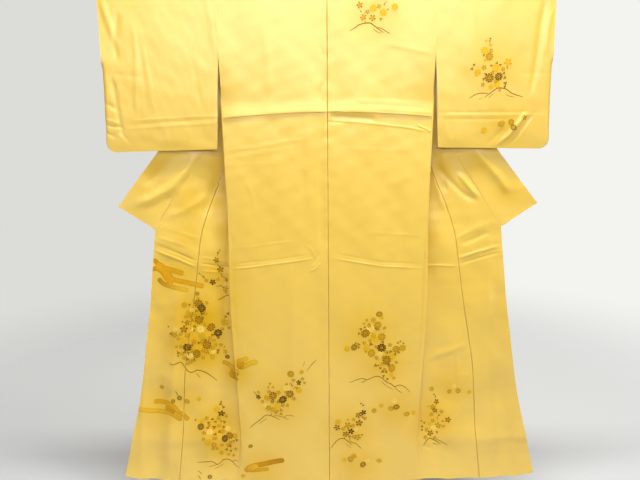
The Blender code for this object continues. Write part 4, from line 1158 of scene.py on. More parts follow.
def new_mesh(name, points, faces):
    """A mesh of points and faces."""
    mesh = bpy.data.meshes.new(name)
    mesh.from_pydata(points, [], faces)
    return mesh


def mark_points(mesh, name, values):
    """Keep a number or a colour for each of a mesh's points."""
    values = np.array(values, dtype=np.float32)
    kind, key = ("FLOAT", "value") if values.ndim == 1 else ("FLOAT_COLOR", "color")
    mesh.attributes.new(name, kind, "POINT").data.foreach_set(key, values.ravel())


def cloth_shell(name, grid, turn, materials):
    """A closed thin shell about a grid: its outer face first, then its lining face and its rim."""
    rows, columns = grid.shape[:2]
    out = grid_normals(grid) * turn
    points = np.concatenate([(grid + out * SHELL / 2).reshape(-1, 3), (grid - out * SHELL / 2).reshape(-1, 3)])
    below = rows * columns
    faces = []
    kinds = []
    for i in range(rows - 1):
        for j in range(columns - 1):
            a = i * columns + j
            for half in ((a, a + columns, a + columns + 1), (a, a + columns + 1, a + 1)):
                half = half if turn > 0 else half[::-1]
                faces += [half, tuple(below + k for k in reversed(half))]
                kinds += [0, 1]
    loop = rim_loop(rows, columns)
    for (i, j), (k, m) in zip(loop, loop[1:] + loop[:1]):
        a, b = i * columns + j, k * columns + m
        quad = (a, below + a, below + b, b)
        faces.append(quad if turn > 0 else quad[::-1])
        kinds.append(0)
    mesh = new_mesh(name, points.tolist(), faces)
    for material in materials:
        mesh.materials.append(material)
    mesh.polygons.foreach_set("material_index", kinds)
    add_cloth_uv(mesh, grid)
    add_halo_and_shade(mesh, grid)
    mesh.shade_smooth()
    mesh.set_sharp_from_angle(angle=SHARP_ANGLE)
    return add_object(name, mesh)


def run_lengths(points):
    """How far along a line each of its points lies."""
    return np.concatenate([[0.0], np.cumsum(np.linalg.norm(np.diff(points, axis=0), axis=1))])


def add_cloth_uv(mesh, grid):
    """A UV map in metres along and across the cloth, so that the weave follows it."""
    across = np.stack([run_lengths(row) for row in grid])
    along = run_lengths(grid[:, grid.shape[1] // 2])
    along = np.repeat(along[:, None], grid.shape[1], axis=1)
    flat = np.stack([across, along], axis=2).reshape(-1, 2)
    both = np.concatenate([flat, flat])
    corners = np.empty(len(mesh.loops), dtype=np.int32)
    mesh.loops.foreach_get("vertex_index", corners)
    layer = mesh.uv_layers.new(name="cloth")
    layer.data.foreach_set("uv", both[corners].astype(np.float32).ravel())


def add_halo_and_shade(mesh, grid):
    """How strongly the golden dye about the sprays shows at each point, and the painted shade, deeper gold with less
    shine, on the wings beneath the sleeves and beside the back.
    """
    x, drop = x_and_drop(grid)
    total = np.zeros_like(x)
    # The second list is painted shade, kept to cloth that lies behind, on the wings
    for places, share in ((HALOS, 1.0), (WING_SHADE_HALOS, grid[:, :, 1] > 0.0)):
        for px, py, reach, strength in places:
            hx, hd = seen(px, py, 0.0)
            scale = (seen(px + reach, py, 0.0)[0] - hx) * HALO_SPREAD
            total = np.maximum(total, share * strength * np.exp(-((np.hypot(x - hx, drop - hd) / scale) ** 2)))
    mark_points(mesh, "halo", np.concatenate([total.ravel()] * 2))


def linear(hex_colour):
    """An sRGB hex colour as linear values with full alpha."""
    parts = [int(hex_colour[i:i + 2], 16) / 255 for i in (1, 3, 5)]
    return tuple([c / 12.92 if c <= 0.04045 else ((c + 0.055) / 1.055) ** 2.4 for c in parts] + [1.0])


def feed(tree, node, values=None, links=None):
    """Set a node's sockets to values and link them to sources: sockets, or nodes for their first output in use."""
    for key, value in (values or {}).items():
        node.inputs[key].default_value = value
    for key, source in (links or {}).items():
        if isinstance(source, bpy.types.Node):
            source = next(socket for socket in source.outputs if socket.enabled)
        tree.links.new(source, node.inputs[key])


def add_node(tree, kind, settings=None, values=None, links=None):
    """Add a node with its settings, and feed its sockets."""
    node = tree.nodes.new(kind)
    for key, value in (settings or {}).items():
        setattr(node, key, value)
    feed(tree, node, values, links)
    return node


def new_material(name):
    """An empty node material, with its tree and its Principled shader."""
    material = bpy.data.materials.new(name)
    material.use_nodes = True
    tree = material.node_tree
    return material, tree, tree.nodes["Principled BSDF"]


def crepe_bump(tree, strength):
    """Fine pebbled crepe with a faint thread along the cloth. Real grains of 0.6 mm are drawn at 1.2 mm."""
    cloth = add_node(tree, "ShaderNodeUVMap", {"uv_map": "cloth"})
    stretch = add_node(tree, "ShaderNodeMapping", None, {"Scale": (1.0, 0.45, 1.0)}, {"Vector": cloth})
    grain = add_node(tree, "ShaderNodeTexNoise", {"noise_dimensions": "2D"},
                     {"Scale": 1 / CREPE_GRAIN, "Detail": 2.0, "Roughness": 0.6}, {"Vector": stretch})
    rumple = add_node(tree, "ShaderNodeTexNoise", {"noise_dimensions": "2D"},
                      {"Scale": 1 / CREPE_RUMPLE, "Detail": 3.0, "Roughness": 0.5}, {"Vector": cloth})
    soft = add_node(tree, "ShaderNodeBump", None, {"Strength": 0.35, "Distance": 0.0006}, {"Height": rumple})
    return add_node(tree, "ShaderNodeBump", None, {"Strength": strength, "Distance": 0.00012},
                    {"Height": grain, "Normal": soft})


def dyed_silk():
    """Silk crepe dyed by hand: even yellow with golden clouds of dye, a broad soft shine and fine grain, and painted
    shade in the same gold, with less shine, on the wings beneath the sleeves.
    """
    material, tree, shader = new_material("dyed_silk_crepe")
    place = add_node(tree, "ShaderNodeTexCoord").outputs["Object"]
    slow = add_node(tree, "ShaderNodeTexNoise", None, {"Scale": 1 / SILK_CLOUD, "Detail": 2.0}, {"Vector": place})
    ground = add_node(tree, "ShaderNodeMix", COLOUR, {"A": linear(GROUND), "B": linear(GROUND_DEEP)},
                      {"Factor": slow})
    # This mark deepens the yellow to gold and lowers the shine: golden dye about the sprays, and painted shade on the
    # wings beneath the sleeves and beside the back
    halo = add_node(tree, "ShaderNodeAttribute", {"attribute_name": "halo"}).outputs["Fac"]
    dyed = add_node(tree, "ShaderNodeMix", COLOUR, {"B": linear(HALO_AND_SHADE_DYE)}, {"Factor": halo, "A": ground})
    shine = add_node(tree, "ShaderNodeMapRange", None, {"To Min": SILK_SHINE, "To Max": HALO_AND_SHADE_SHINE}, {"Value": halo})
    feed(tree, shader, {"Roughness": 0.37, "IOR": 1.70, "Sheen Weight": 0.05, "Sheen Roughness": 0.35},
         {"Base Color": dyed, "Specular IOR Level": shine, "Normal": crepe_bump(tree, 0.30)})
    return material


def lining_silk():
    """Plain-weave lining silk: cream in the body, dyed yellow in the skirt and at the cuffs."""
    material, tree, shader = new_material("plain_lining_silk")
    place = add_node(tree, "ShaderNodeTexCoord").outputs["Object"]
    parts = add_node(tree, "ShaderNodeSeparateXYZ", links={"Vector": place})
    level = parts.outputs["Z"]
    skirt = add_node(tree, "ShaderNodeMath", {"operation": "LESS_THAN"}, {1: -SKIRT_LINING_DROP}, {0: level})
    high = add_node(tree, "ShaderNodeMath", {"operation": "GREATER_THAN"}, {1: -CUFF_LINING_DROP}, {0: level})
    reach = add_node(tree, "ShaderNodeMath", {"operation": "ABSOLUTE"}, links={0: parts})
    out = add_node(tree, "ShaderNodeMath", {"operation": "GREATER_THAN"}, {1: CUFF_LINING_X}, {0: reach})
    cuff = add_node(tree, "ShaderNodeMath", {"operation": "MULTIPLY"}, links={0: out, 1: high})
    yellow = add_node(tree, "ShaderNodeMath", {"operation": "MAXIMUM"}, links={0: skirt, 1: cuff})
    colour = add_node(tree, "ShaderNodeMix", COLOUR, {"A": linear(LINING_CREAM), "B": linear(LINING_YELLOW)},
                      {"Factor": yellow})
    feed(tree, shader, {"Roughness": 0.45, "Sheen Weight": 0.1},
         {"Base Color": colour, "Normal": crepe_bump(tree, 0.15)})
    return material


def painted_dye():
    """Dye painted by hand within fine lines, on the same silk: flat, a little uneven, as soft in its shine."""
    material, tree, shader = new_material("painted_silk_dye")
    dye, core_dye, core = (add_node(tree, "ShaderNodeAttribute", {"attribute_name": name}).outputs
                           for name in ("dye", "core_dye", "core"))
    place = add_node(tree, "ShaderNodeTexCoord").outputs["Object"]
    uneven = add_node(tree, "ShaderNodeTexNoise", None, {"Scale": 1 / DYE_CLOUD, "Detail": 1.0}, {"Vector": place})
    body = add_node(tree, "ShaderNodeMix", COLOUR,
                    links={"Factor": core["Fac"], "A": dye["Color"], "B": core_dye["Color"]})
    depth = add_node(tree, "ShaderNodeMapRange", None, {"To Min": 0.80, "To Max": 1.15}, {"Value": uneven})
    colour = add_node(tree, "ShaderNodeVectorMath", {"operation": "SCALE"}, links={0: body, "Scale": depth})
    feed(tree, shader, {"Roughness": 0.60, "IOR": 1.45, "Specular IOR Level": 0.22}, {"Base Color": colour})
    return material


def rod_wood():
    """Turned cedar rod, oiled: straight grain along its length with a low soft gloss."""
    material, tree, shader = new_material("oiled_cedar")
    place = add_node(tree, "ShaderNodeTexCoord").outputs["Object"]
    along = add_node(tree, "ShaderNodeMapping", None, {"Scale": (0.06, 1.0, 1.0)}, {"Vector": place})
    grain = add_node(tree, "ShaderNodeTexNoise", None, {"Scale": 1 / CEDAR_GRAIN, "Detail": 4.0, "Distortion": 0.4},
                     {"Vector": along})
    tone = add_node(tree, "ShaderNodeTexNoise", None, {"Scale": 1 / CEDAR_TONE, "Detail": 2.0}, {"Vector": along})
    fine = add_node(tree, "ShaderNodeMix", COLOUR, {"A": linear(CEDAR_PALE), "B": linear(CEDAR_DARK)},
                    {"Factor": grain})
    colour = add_node(tree, "ShaderNodeMix", {**COLOUR, "blend_type": "MULTIPLY"}, {"Factor": 0.35},
                      {"A": fine, "B": tone.outputs["Color"]})
    bump = add_node(tree, "ShaderNodeBump", None, {"Strength": 0.25, "Distance": 0.0002}, {"Height": grain})
    feed(tree, shader, {"Roughness": 0.38}, {"Base Color": colour, "Normal": bump})
    return material


def place_camera():
    """A camera at the photograph's place and angle."""
    data = bpy.data.cameras.new("camera")
    data.sensor_width = SENSOR_WIDTH
    data.lens = FOCAL_PIXELS / FRAME_PIXELS * SENSOR_WIDTH
    camera = add_object("camera", data)
    camera.matrix_world = Matrix.Translation(CAMERA_PLACE) @ camera_turn().to_4x4()
    bpy.context.scene.camera = camera


def area_light(name, place, aim, size, power):
    """A wide soft white light at a place, turned towards a point."""
    data = bpy.data.lights.new(name, "AREA")
    data.shape = "RECTANGLE"
    data.size, data.size_y = size
    data.energy = power
    turn = (Vector(aim) - Vector(place)).to_track_quat("-Z", "Y").to_matrix()
    add_object(name, data).matrix_world = Matrix.Translation(place) @ turn.to_4x4()


def light_scene():
    """Plain soft studio light before a pale wall, strongest on the shoulders as in the photograph."""
    bpy.context.scene.view_settings.view_transform = "Standard"
    world = bpy.data.worlds.new("studio")
    world.use_nodes = True
    tree = world.node_tree
    surround = tree.nodes["Background"]
    feed(tree, surround, {"Color": (0.95, 0.97, 1.0, 1.0), "Strength": 0.05})
    # The wall, seen only directly, goes from darker on the left to paler on the right: painted shade on a plain
    # backdrop
    place = add_node(tree, "ShaderNodeTexCoord").outputs["Generated"]
    parts = add_node(tree, "ShaderNodeSeparateXYZ", links={"Vector": place})
    across = add_node(tree, "ShaderNodeMapRange", None, {"From Min": -0.30, "From Max": 0.30}, {"Value": parts})
    wall = add_node(tree, "ShaderNodeMix", COLOUR, {"A": linear(WALL_LEFT), "B": linear(WALL_RIGHT)},
                    {"Factor": across})
    backdrop = add_node(tree, "ShaderNodeBackground", links={"Color": wall})
    seen_directly = add_node(tree, "ShaderNodeLightPath").outputs["Is Camera Ray"]
    both = add_node(tree, "ShaderNodeMixShader", links={0: seen_directly, 1: surround, 2: backdrop})
    feed(tree, tree.nodes["World Output"], links={"Surface": both})
    bpy.context.scene.world = world
    for light in LIGHTS:
        area_light(*light)


def lay_floor():
    """A plain pale floor below the hem that ends softly in the pale surround."""
    level = -HEM_DROP - FLOOR_ROOM
    corners = [(x * FLOOR_REACH, y * FLOOR_REACH, level) for x, y in ((-1, -1), (1, -1), (1, 1), (-1, 1))]
    mesh = new_mesh("floor", corners, [(0, 1, 2, 3)])
    material, tree, shader = new_material("pale_floor")
    place = add_node(tree, "ShaderNodeTexCoord").outputs["Object"]
    flat = add_node(tree, "ShaderNodeVectorMath", {"operation": "MULTIPLY"}, {1: (1.0, 1.0, 0.0)}, {0: place})
    away = add_node(tree, "ShaderNodeVectorMath", {"operation": "LENGTH"}, links={0: flat})
    fade = add_node(tree, "ShaderNodeMapRange", {"interpolation_type": "SMOOTHSTEP"},
                    {"From Min": FLOOR_FADE[0], "From Max": FLOOR_FADE[1], "To Min": 1.0, "To Max": 0.0},
                    {"Value": away})
    feed(tree, shader, {"Base Color": linear(FLOOR_GREY), "Roughness": 0.9}, {"Alpha": fade})
    mesh.materials.append(material)
    add_object("floor", mesh)


def declare_cloth(piece, node):
    """Hide the solid that a cloth piece stands for, and hang the piece on what it rides on."""
    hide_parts(node)
    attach(piece, "root")


def near_top(drop):
    """Share of a crease that shows, fading out where the cloth lies over the rod."""
    return smooth((drop - TOP_CALM) / TOP_FADE)


def relief(x, drop, creases, plane, swells, puckers=0.0):
    """Relief of cloth in sight: creases, swells and the puckers of a seam."""
    height = crease_height(x, drop, placed(creases, plane)) + sum(drift(x, drop, *swell) for swell in swells)
    return (height + puckers) * near_top(drop)


def back_relief(x, drop):
    """Relief of the back panels, with puckers along the centre seam."""
    puckers = np.exp(-((x / PUCKER_REACH) ** 2)) * drift(x * 0.0, drop, *PUCKERS)
    return relief(x, drop, BACK_CREASES, BACK_PLANE, BACK_SWELLS, puckers)


def wing_relief(x, drop):
    """Relief of the opened wings and the collar on them."""
    return relief(x, drop, WING_CREASES, WING_PLANE, WING_SWELLS)


def hidden_relief(x, drop, seed, side, corners):
    """Relief of cloth that the photograph doesn't show, on one side of the garment."""
    low, high = ((side * corner[0], corner[1]) for corner in corners)
    height = crease_height(x, drop, stray_creases(seed + side, low, high))
    return (height + drift(x, drop, seed + side + 1, *HIDDEN_SWELL)) * near_top(drop)


def raised(grid, turn, height):
    """A grid moved along its outward normals by a height at each point."""
    return grid + grid_normals(grid) * turn * height[:, :, None]


def body_height(grid, backs, side):
    """Relief over a whole body panel: back, hidden front and wing."""
    x, drop = x_and_drop(grid)
    height = np.zeros_like(x)
    height[:backs] = back_relief(x[:backs], drop[:backs])
    first_front = len(grid) - len(front_drops())
    share = smooth((np.arange(grid.shape[1]) - FIRST_WING) / WING_BLEND_STEPS)[None, :]
    fx, fd = x[first_front:], drop[first_front:]
    hidden = hidden_relief(fx, fd, FRONT_SEED, side, HIDDEN_FRONT)
    calm = smooth((np.abs(fx) - CHEST_CALM) / CHEST_FADE)
    height[first_front:] = mix(hidden * HIDDEN_SHARE * calm, wing_relief(fx, fd), share)
    return height


def sleeve_height(grid, side):
    """Relief over a whole sleeve, calm along its bottom seam."""
    x, drop = x_and_drop(grid)
    near = relief(x, drop, SLEEVE_CREASES, BACK_PLANE, SLEEVE_SWELLS)
    hidden = hidden_relief(x, drop, SLEEVE_SEED, side, HIDDEN_SLEEVE)
    return np.where(grid[:, :, 1] > 0.0, hidden, near) * smooth((SLEEVE_BOTTOM_DROP - drop) / SLEEVE_CALM)


def dress_garment(materials):
    """Every cloth piece, mirrored in its form and different in its creases."""
    body, backs = body_grid()
    okumi = okumi_grid()
    sleeve = sleeve_grid()
    pieces = {}

    def sew(name, node, grid, turn):
        pieces[name] = cloth_shell(name, grid, turn, materials)
        declare_cloth(pieces[name], node)

    for side, word in ((-1, "left"), (1, "right")):
        flip = np.array([side, 1.0, 1.0])
        grid = raised(body * flip, side, body_height(body * flip, backs, side))
        sew("body_panel_" + word, "body_" + word, seam_edge(grid, side, True), side)
        grid = raised(okumi * flip, side, wing_relief(*x_and_drop(okumi * flip)))
        sew("okumi_panel_" + word, "okumi_" + word, seam_edge(grid, side, False), side)
        grid = raised(sleeve * flip, -side, sleeve_height(sleeve * flip, side))
        sew("sleeve_cloth_" + word, "sleeve_" + word, grid, -side)
    grid = collar_grid()
    x, drop = x_and_drop(grid)
    grid = raised(grid, 1, wing_relief(x, drop) * smooth((drop - COLLAR_CALM) / COLLAR_FADE))
    sew("collar_cloth", "collar", seam_edge(grid, 1, False), 1)
    return pieces


def outer_faces(helper):
    """A helper's faces as a tree that rays can be cast on."""
    points = [v.co.copy() for v in helper.data.vertices]
    return BVHTree.FromPolygons(points, [tuple(p.vertices) for p in helper.data.polygons])


def on_cloth(tree, x, drop, depth, lift):
    """The point of the cloth behind a place, raised a little; the sleeves, back and wings face -Y."""
    start = depth - RAY_ROOM
    hit = tree.ray_cast(Vector((x, start, -drop)), Vector((0.0, 1.0, 0.0)), 2.0 * RAY_ROOM)[0]
    if hit is None:
        return None
    return hit - Vector((0.0, lift, 0.0))


def curve_through(places, step):
    """Evenly spaced points on a smooth curve through places, and how far along it they lie."""
    places = np.array(places)
    padded = np.concatenate([2 * places[:1] - places[1:2], places, 2 * places[-1:] - places[-2:-1]])
    curve = finer(padded[:, None, :], CURVE_STEPS)[CURVE_STEPS:-CURVE_STEPS, 0]
    lengths = run_lengths(curve)
    count = max(int(lengths[-1] / step), CURVE_FEWEST)
    spots = np.linspace(0.0, lengths[-1], count + 1)
    return np.stack([np.interp(spots, lengths, curve[:, k]) for k in range(2)], axis=1), spots


def cell_corners(i, j):
    """Keys of a cell's corners, in order round it."""
    return (i, j), (i + 1, j), (i + 1, j + 1), (i, j + 1)


def add_painted(name, mesh):
    """A painted part of the design, which rides with the garment."""
    piece = add_object(name, mesh)
    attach(piece, "root")


class Wafers:
    """Thin closed wafers of dye that lie on the cloth, gathered into one mesh."""

    def __init__(self):
        self.points = []
        self.faces = []
        self.dyes = []

    def strip(self, cloth, places, half_widths, dyes, columns, lift, tone):
        """One strip about a line of places, with a half width at each and a dye at either end."""
        tree, depth = cloth
        steps = np.gradient(places, axis=0)
        sides = np.stack([-steps[:, 1], steps[:, 0]], axis=1)
        sides /= np.maximum(np.linalg.norm(sides, axis=1, keepdims=True), TINY)
        rows = len(places)
        top = {}
        for i in range(rows):
            for j in range(columns + 1):
                x, drop = places[i] + sides[i] * half_widths[i] * (2.0 * j / columns - 1.0)
                hit = on_cloth(tree, x, drop, depth, lift)
                if hit is not None:
                    top[i, j] = hit
        cells = [(i, j) for i in range(rows - 1) for j in range(columns) if self.lies_flat(top, cell_corners(i, j))]
        first, last = (np.array(linear(dye)) * (tone, tone, tone, 1.0) for dye in dyes)
        self.add(top, cells, [mix(first, last, i / (rows - 1)) for i in range(rows)])

    @staticmethod
    def lies_flat(top, corners):
        """Whether a cell is all on the cloth and doesn't hang across a step between two pieces."""
        if not all(key in top for key in corners):
            return False
        depths = [top[key].y for key in corners]
        return max(depths) - min(depths) < STEP_LIMIT

    def add(self, top, cells, row_dyes):
        """Cells of a strip with their upper and lower faces and the walls round their outline."""
        keys = {}
        edges = {}
        for cell in cells:
            for key in cell_corners(*cell):
                if key not in keys:
                    keys[key] = len(self.points)
                    self.points += [top[key], top[key] + Vector((0.0, WAFER, 0.0))]
                    self.dyes += [row_dyes[key[0]]] * 2
            ring = [keys[key] for key in cell_corners(*cell)]
            a, b, c = (self.points[k] for k in ring[:3])
            if (b - a).cross(c - a).y > 0.0:
                ring.reverse()
            self.faces += [ring, [k + 1 for k in reversed(ring)]]
            edges.update(dict.fromkeys(zip(ring, ring[1:] + ring[:1])))
        self.faces += [[b, a, a + 1, b + 1] for a, b in edges if (b, a) not in edges]

    def finish(self, name, material):
        """The gathered wafers as a part of the design."""
        mesh = new_mesh(name, self.points, self.faces)
        mark_points(mesh, "dye", self.dyes)
        mark_points(mesh, "core_dye", self.dyes)
        mark_points(mesh, "core", np.zeros(len(self.points)))
        mesh.materials.append(material)
        add_painted(name, mesh)


def draw_lines(cloths, material):
    """Hill lines and twigs, thin and tapering at both ends."""
    wafers = Wafers()
    for name, half, *places in LINES:
        line, spots = curve_through(placed_line(places, cloths[name][1]), LINE_STEP)
        share = spots / spots[-1]
        taper = np.sqrt(np.clip(np.minimum(share, 1.0 - share) * LINE_TAPER, 0.0, 1.0))
        wafers.strip(cloths[name], line, half * mix(LINE_END, 1.0, taper), (HILL_DYE, HILL_DYE), 1, LINE_LIFT, 1.0)
    wafers.finish("hill_lines_and_stems", material)


def draw_mist(cloths, material):
    """Mist bands: long lobes with round ends, deeper where they meet."""
    wafers = Wafers()
    for k, (name, half, first, last, *places) in enumerate(MISTS):
        line, spots = curve_through(placed_line(places, cloths[name][1]), MIST_STEP)
        from_end = np.clip(np.minimum(spots, spots[-1] - spots) / half, 0.0, 1.0)
        widths = np.maximum(half * round_end(from_end), MIST_TIP)
        lift = MIST_LIFT + k % MIST_LEVELS * LAYER_STEP / 2
        for share, columns, above, tone in ((1.0, 6, 0, MIST_RIM), (MIST_MIDDLE, 4, 2, 1.0)):
            wafers.strip(cloths[name], line, widths * share, (first, last), columns, lift + above * LAYER_STEP, tone)
    wafers.finish("mist_bands", material)


def flower_rows(cloth_name, depth):
    """Every flower on one cloth, from the palest to the darkest, each above those that it touches."""
    chance = np.random.default_rng(len(cloth_name))
    placed_flowers = []
    gathered = {}
    order = list(DYES)
    kinds = sorted(FLOWERS[cloth_name].items(), key=lambda item: (item[0][0] == "bud", order.index(item[0][1])))
    for (kind, dye), flowers in kinds:
        for px, py, wide in flowers:
            below = [level for ox, oy, other, level in placed_flowers
                     if math.dist((px, py), (ox, oy)) < (wide + other) / 2]
            level = max(below, default=-1) + 1
            placed_flowers.append((px, py, wide, level))
            x, drop = seen(px, py, depth)
            width = seen(px + wide / 2, py, depth)[0] - seen(px - wide / 2, py, depth)[0]
            turn = chance.uniform(0.0, FULL_TURN)
            squash = chance.uniform(LEAST_SQUASH, 1.0)
            gathered.setdefault(kind, []).append((x, drop, width, turn, squash, level, *DYES[dye]))
    return gathered


def marked(tree, geometry, core, layer):
    """Petals marked with how much of the middle dye they take and with their layer."""
    for name, value in (("core", core), ("layer", layer)):
        geometry = add_node(tree, "GeometryNodeStoreNamedAttribute", {"data_type": "FLOAT", "domain": "POINT"},
                            {"Name": name, "Value": value}, {"Geometry": geometry})
    return geometry


def petal_shape(tree, length, width):
    """One petal as a flat rounded face."""
    disc = add_node(tree, "GeometryNodeMeshCircle", {"fill_type": "NGON"}, {"Vertices": PETAL_SIDES, "Radius": 0.5})
    size = add_node(tree, "ShaderNodeCombineXYZ", None, {"Z": 1.0}, {"X": length, "Y": width})
    return add_node(tree, "GeometryNodeTransform", links={"Geometry": disc, "Scale": size})


def petal_ring(tree, given, part):
    """Petals set round a centre, with the tree's inputs for one part of the flower."""
    petals, length, width, reach = (given[part + size] for size in PETAL_SIZES)
    away = add_node(tree, "ShaderNodeCombineXYZ", links={"X": reach})
    petal = add_node(tree, "GeometryNodeTransform",
                     links={"Geometry": petal_shape(tree, length, width), "Translation": away})
    spots = add_node(tree, "GeometryNodePoints", links={"Count": petals})
    index = add_node(tree, "GeometryNodeInputIndex")
    share = add_node(tree, "ShaderNodeMath", {"operation": "DIVIDE"}, links={0: index, 1: petals})
    turn = add_node(tree, "ShaderNodeMath", {"operation": "MULTIPLY"}, {1: FULL_TURN}, {0: share})
    facing = add_node(tree, "ShaderNodeCombineXYZ", links={"Z": turn})
    ring = add_node(tree, "GeometryNodeInstanceOnPoints",
                    links={"Points": spots, "Instance": petal, "Rotation": facing})
    return add_node(tree, "GeometryNodeRealizeInstances", links={"Geometry": ring})


def flower_inputs(tree):
    """The tree's named inputs: the points, the cloth, the dye and every size."""
    sockets = [("Geometry", "Geometry"), ("Cloth", "Object"), ("Dye", "Material")]
    sockets += [(part, "Int" if part.endswith("Petals") else "Float") for part in FLOWER_PARTS]
    sockets += [("Wafer", "Float"), ("Lift", "Float"), ("Layer Step", "Float")]
    for name, kind in sockets:
        tree.interface.new_socket(name, in_out="INPUT", socket_type="NodeSocket" + kind)
    tree.interface.new_socket("Geometry", in_out="OUTPUT", socket_type="NodeSocketGeometry")
    return add_node(tree, "NodeGroupInput").outputs


def whole_flower(tree, given):
    """One flower of width 1, upright: its heart and its rings of petals, joined."""
    heart = petal_shape(tree, given["Heart Size"], given["Heart Size"])
    parts = [marked(tree, heart, HEART_CORE, 1.0)]
    for part, core, layer in (("Inner", 0.0, 1.0), ("Outer", 0.0, 1.0), ("Base", 1.0, 0.0)):
        parts.append(marked(tree, petal_ring(tree, given, part), core, layer))
    flower = add_node(tree, "GeometryNodeJoinGeometry")
    for part in parts:
        feed(tree, flower, links={"Geometry": part})
    return add_node(tree, "GeometryNodeTransform", None, {"Rotation": (math.pi / 2, 0.0, 0.0)}, {"Geometry": flower})


def laid_flowers(tree, given, flower):
    """Flowers on the marked points, each turned and sized, and moved back onto the cloth behind them."""
    width, turn, squash, level, layer = (
        add_node(tree, "GeometryNodeInputNamedAttribute", {"data_type": "FLOAT"}, {"Name": name})
        for name in ("width", "turn", "squash", "level", "layer"))
    facing = add_node(tree, "ShaderNodeCombineXYZ", links={"Y": turn})
    narrow = add_node(tree, "ShaderNodeMath", {"operation": "MULTIPLY"}, links={0: width, 1: squash})
    spread = add_node(tree, "ShaderNodeCombineXYZ", links={"X": width, "Y": width, "Z": narrow})
    set_out = add_node(tree, "GeometryNodeInstanceOnPoints",
                       links={"Points": given["Geometry"], "Instance": flower, "Rotation": facing, "Scale": spread})
    real = add_node(tree, "GeometryNodeRealizeInstances", links={"Geometry": set_out})
    cloth = add_node(tree, "GeometryNodeObjectInfo", links={"Object": given["Cloth"]})
    ray = add_node(tree, "GeometryNodeRaycast", None, {"Ray Direction": (0.0, 1.0, 0.0), "Ray Length": 1.0},
                   {"Target Geometry": cloth.outputs["Geometry"]})
    pair = add_node(tree, "ShaderNodeMath", {"operation": "MULTIPLY_ADD"}, {1: 2.0}, {0: level, 2: layer})
    height = add_node(tree, "ShaderNodeMath", {"operation": "MULTIPLY_ADD"},
                      links={0: pair, 1: given["Layer Step"], 2: given["Lift"]})
    lift = add_node(tree, "ShaderNodeCombineXYZ", links={"Y": height})
    spot = add_node(tree, "ShaderNodeVectorMath", {"operation": "SUBTRACT"},
                    links={0: ray.outputs["Hit Position"], 1: lift})
    return add_node(tree, "GeometryNodeSetPosition",
                    links={"Geometry": real, "Position": spot, "Selection": ray.outputs["Is Hit"]})


def kept_petals(tree, laid):
    """What lies well: no point that missed the cloth, and no edge that hangs across a step in it."""
    place = add_node(tree, "ShaderNodeSeparateXYZ", links={"Vector": add_node(tree, "GeometryNodeInputPosition")})
    missed = add_node(tree, "FunctionNodeCompare", {"data_type": "FLOAT", "operation": "LESS_THAN"},
                      {"B": MISS_DEPTH}, {"A": place.outputs["Y"]})
    landed = add_node(tree, "GeometryNodeDeleteGeometry", {"domain": "POINT"},
                      links={"Geometry": laid, "Selection": missed})
    ends = add_node(tree, "GeometryNodeInputMeshEdgeVertices").outputs
    apart = add_node(tree, "ShaderNodeVectorMath", {"operation": "SUBTRACT"},
                     links={0: ends["Position 1"], 1: ends["Position 2"]})
    parts = add_node(tree, "ShaderNodeSeparateXYZ", links={"Vector": apart})
    step = add_node(tree, "ShaderNodeMath", {"operation": "ABSOLUTE"}, links={0: parts.outputs["Y"]})
    hanging = add_node(tree, "FunctionNodeCompare", {"data_type": "FLOAT", "operation": "GREATER_THAN"},
                       {"B": STEP_LIMIT}, {"A": step})
    return add_node(tree, "GeometryNodeDeleteGeometry", {"domain": "EDGE"},
                    links={"Geometry": landed, "Selection": hanging})


def flower_tree():
    """Flowers of petal rings, set on marked points and laid on the cloth behind them as thin wafers."""
    tree = bpy.data.node_groups.new("flowers_on_cloth", "GeometryNodeTree")
    given = flower_inputs(tree)
    kept = kept_petals(tree, laid_flowers(tree, given, whole_flower(tree, given)))
    outward = add_node(tree, "ShaderNodeCombineXYZ", None, {"Y": -1.0})
    thick = add_node(tree, "GeometryNodeExtrudeMesh", {"mode": "FACES"}, {"Individual": False},
                     {"Mesh": kept, "Offset": outward, "Offset Scale": given["Wafer"]})
    under = add_node(tree, "GeometryNodeFlipFaces", links={"Mesh": kept})
    whole = add_node(tree, "GeometryNodeJoinGeometry")
    for part in (thick, under):
        feed(tree, whole, links={"Geometry": part})
    merged = add_node(tree, "GeometryNodeMergeByDistance", None, {"Distance": CLOSE}, {"Geometry": whole})
    finished = add_node(tree, "GeometryNodeSetMaterial", links={"Geometry": merged, "Material": given["Dye"]})
    add_node(tree, "NodeGroupOutput", links={"Geometry": finished})
    return tree


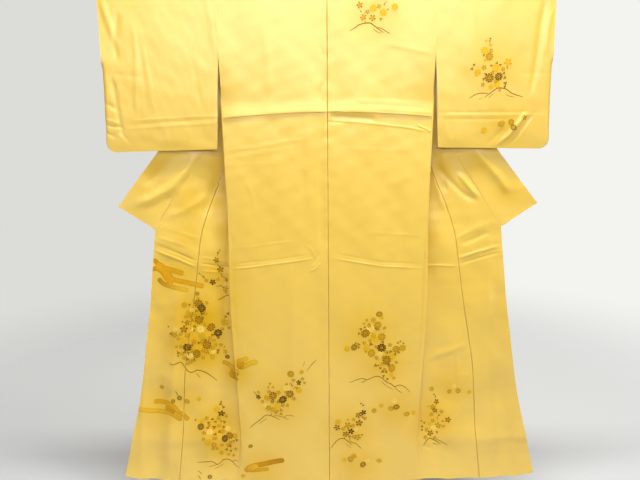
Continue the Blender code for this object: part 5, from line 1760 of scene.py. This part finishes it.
def flower_points(rows):
    """Points in front of the cloth that carry each flower's measures and dyes."""
    x, drops, width, turn, squash, level, dye, core_dye = zip(*rows)
    mesh = new_mesh("points", [(px, FLOWER_START, -drop) for px, drop in zip(x, drops)], [])
    for name, values in (("width", width), ("turn", turn), ("squash", squash), ("level", level)):
        mark_points(mesh, name, values)
    for name, dyes in (("dye", dye), ("core_dye", core_dye)):
        mark_points(mesh, name, [linear(colour) for colour in dyes])
    return mesh


def paint_flowers(cloth_name, depth, target, tree, material):
    """The flowers of one cloth, laid on it by the node tree and kept as plain meshes."""
    identifiers = {item.name: item.identifier for item in tree.interface.items_tree if item.in_out == "INPUT"}
    for kind, rows in sorted(flower_rows(cloth_name, depth).items()):
        holder = add_object("points", flower_points(rows))
        modifier = holder.modifiers.new("flowers", "NODES")
        modifier.node_group = tree
        values = {"Cloth": target, "Dye": material, "Wafer": WAFER, "Lift": FLOWER_LIFT, "Layer Step": LAYER_STEP}
        values.update(zip(FLOWER_PARTS, FLOWER_KINDS[kind]))
        for key, value in values.items():
            modifier[identifiers[key]] = value
        graph = bpy.context.evaluated_depsgraph_get()
        finished = bpy.data.meshes.new_from_object(holder.evaluated_get(graph))
        bpy.data.objects.remove(holder, do_unlink=True)
        finished.name = kind + "_flowers_" + cloth_name
        add_painted(finished.name, finished)


def joined_outer(name, pieces):
    """A helper object of some pieces' outer faces, for flowers to be laid on."""
    points = []
    faces = []
    for piece in pieces:
        first = len(points)
        points += [v.co.copy() for v in piece.data.vertices]
        faces += [[first + v for v in p.vertices] for p in piece.data.polygons if p.material_index == 0]
    return add_object(name, new_mesh(name, points, faces))


def paint_design(pieces):
    """The whole dyed design on the finished cloth."""
    material = painted_dye()
    tree = flower_tree()
    cloths = {}
    for name, (names, depth) in DESIGN_CLOTHS.items():
        helper = joined_outer(name, [pieces[n] for n in names])
        cloths[name] = (outer_faces(helper), depth)
        paint_flowers(name, depth, helper, tree, material)
        bpy.data.objects.remove(helper, do_unlink=True)
    draw_mist(cloths, material)
    draw_lines(cloths, material)


def finish_rod():
    """Wood on the solid rod."""
    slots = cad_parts["rod"].data.materials
    slots.clear()
    slots.append(rod_wood())


def main():
    """Build the whole scene."""
    place_camera()
    light_scene()
    lay_floor()
    pieces = dress_garment([dyed_silk(), lining_silk()])
    paint_design(pieces)
    finish_rod()


main()
